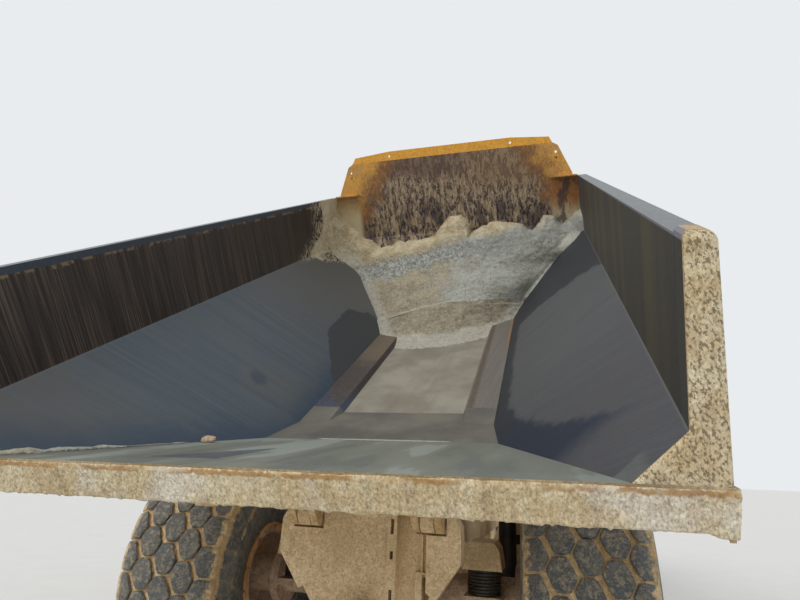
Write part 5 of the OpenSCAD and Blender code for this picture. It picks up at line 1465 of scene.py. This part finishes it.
def lens(radius, crown_height):
    """A lamp lens facing along X: rings on a parabola, rippled by a cosine towards its rim."""
    r = np.linspace(1, 0.03, 24)
    x = crown_height * (1 - r ** 2) + 0.0008 * np.cos(r * 40) * r
    return turned(np.stack([radius * r, np.maximum(x, 0.0)], 1), 48)


def bezel(radius, width):
    """A ring with a round section, whose hole faces along X."""
    around = np.linspace(0, 2 * np.pi, 14, endpoint=False)
    return lathe(np.stack([radius + width * np.cos(around), width * np.sin(around)], 1), 64)


def louvres(sign):
    """Ten slats on one side of the hood: each a half ellipse that runs lengthways and fades at its ends."""
    run = np.linspace(0, 1, 30)[:, None]
    around = np.linspace(0, 2 * np.pi, 12, endpoint=False)[None, :]
    swell = np.sqrt(np.clip(1 - np.abs(2 * run - 1) ** 6, 0.02, 1))
    x = sign * (0.699 + 0.020 * np.cos(around) * swell)
    y = 4.42 + 0.70 * run + 0 * around
    z = 0.013 * np.sin(around - 0.5) * swell
    slats = [np.stack([x, y, z + level], -1)[:, ::-sign] for level in np.linspace(1.62, 2.02, 10)]
    return joined(*[capped(points) for points in slats])


ACROSS, LENGTHWAYS = (1, 0, 0), (0, 1, 0)
window_seals = joined(
    seal((0.0, CAB_FRONT_Y, 3.055), 0.70, 0.395, ACROSS),
    seal((0.0, CAB_REAR_Y, 2.95), 0.70, 0.50, ACROSS),
    seal((CAB_HALF, CAB_MIDDLE_Y, 2.90), 0.53, 0.52, LENGTHWAYS))
make_piece("window_seals", window_seals, BLACK, "tractor")
door_seal = seal((-CAB_HALF, CAB_MIDDLE_Y, 2.8825), 0.41, 0.4475, LENGTHWAYS)
handle = tube([(-0.845, 2.66, 2.30), (-0.885, 2.66, 2.30), (-0.892, 2.74, 2.30), (-0.885, 2.81, 2.30),
               (-0.845, 2.81, 2.30)], 0.010)
make_piece("door_seal_and_handle", joined(door_seal, handle), BLACK, "door")
arm = tube([(0.05, 3.032, 2.63), (0.05, 3.050, 2.66), (-0.08, 3.050, 2.86), (-0.20, 3.046, 3.05)], 0.007)
blade = tube([(-0.33, 3.044, 2.80), (-0.25, 3.044, 2.95), (-0.17, 3.044, 3.12), (-0.08, 3.044, 3.30)],
             0.008)
make_piece("wiper", joined(arm, blade), BLACK, "tractor")
for side, sign in SIDES:
    head = (sign * 1.01, HEADLAMP_Y, 1.32)
    glass, ring = moved(lens(0.068, 0.014), FORWARD, head), moved(bezel(0.070, 0.007), FORWARD, head)
    make_piece(f"headlamp_lens_{side}", glass, LENS, "tractor")
    make_piece(f"headlamp_ring_{side}", ring, BLACK, "tractor")
    make_piece(f"hood_louvres_{side}", louvres(sign), YELLOW, "hood")
shells, glasses = [], []
can = turned([(0.030, -0.075), (0.050, -0.060), (0.060, -0.020), (0.062, 0.0)], 32)
for x in (-0.62, -0.40, 0.40, 0.62):
    stalk = tube([(x, 3.03, z) for z in (3.700, 3.69, 3.678)], 0.014)
    shells += [moved(can, FORWARD, (x, 3.06, 3.755)), stalk]
    glasses.append(moved(lens(0.055, 0.008), FORWARD, (x, 3.0605, 3.755)))
make_piece("work_lamps", joined(*shells), BLACK, "tractor")
make_piece("work_lamp_lenses", joined(*glasses), LENS, "tractor")
BEACON = (-0.55, 1.85, 3.679)
foot = turned([(0.075, 0.0), (0.075, 0.012), (0.060, 0.018), (0.060, 0.035)], 40)
dome = turned([(0.056, 0.035), (0.056, 0.11), (0.050, 0.128), (0.036, 0.141), (0.018, 0.148),
               (0.003, 0.150)], 40)
make_piece("beacon_foot", moved(foot, UPWARD, BEACON), BLACK, "tractor")
make_piece("beacon_dome", moved(dome, UPWARD, BEACON), AMBER, "tractor")


# Ground, light and camera


def stage_and_light():
    """A pale floor and background, a soft sky all round and one broad lamp behind the camera."""
    bpy.ops.mesh.primitive_plane_add(size=400)
    ground = bpy.context.object
    ground.name = "ground"
    material, at, _ = new_material("pale floor")
    grain = noise(at, 2.0, 4.0)
    finish(material, mixed(grain, "dedcd8", "e6e4e0"), 0.9)
    ground.data.materials.append(material)
    world = bpy.data.worlds.new("soft sky")
    bpy.context.scene.world = world
    world.use_nodes = True
    tree = world.node_tree
    tree.nodes.clear()
    seen = put(tree, "ShaderNodeLightPath")
    shows = larger(seen["Is Camera Ray"], seen["Is Glossy Ray"])
    shows = larger(shows, seen["Is Transmission Ray"])
    light = put(tree, "ShaderNodeBackground", {"Color": (0.92, 0.96, 1.0, 1.0), "Strength": 0.72})
    back = put(tree, "ShaderNodeBackground", {"Color": tone("e9ecef"), "Strength": 1.0})
    mix = put(tree, "ShaderNodeMixShader", {0: shows, 1: light[0], 2: back[0]})
    put(tree, "ShaderNodeOutputWorld", {"Surface": mix[0]})
    lamp = bpy.data.lights.new("broad lamp", "SUN")
    lamp.energy = 1.25
    lamp.angle = math.radians(35)
    lamp.color = (1.0, 0.97, 0.92)
    sun = bpy.data.objects.new("broad lamp", lamp)
    sun.rotation_euler = (math.radians(48), 0.0, math.radians(-28))
    bpy.context.scene.collection.objects.link(sun)


def set_camera():
    """The photograph's view: its place and its right, forward and up, solved from the body's edges."""
    right = Vector((0.9645, 0.2615, 0.0371))
    forward = Vector((-0.2608, 0.9205, 0.2910))
    up = Vector((0.0420, -0.2904, 0.9560))
    turn = Matrix((right, up, -forward)).transposed()
    camera = bpy.data.cameras.new("photo view")
    camera.sensor_width = 36.0
    camera.lens = 25.144
    camera.clip_end = 1000.0
    placed = bpy.data.objects.new("photo view", camera)
    placed.matrix_world = Matrix.Translation((1.145, -7.563, 1.716)) @ turn.to_4x4()
    bpy.context.scene.collection.objects.link(placed)
    bpy.context.scene.camera = placed


stage_and_light()
set_camera()
bpy.context.scene.view_settings.view_transform = "Standard"
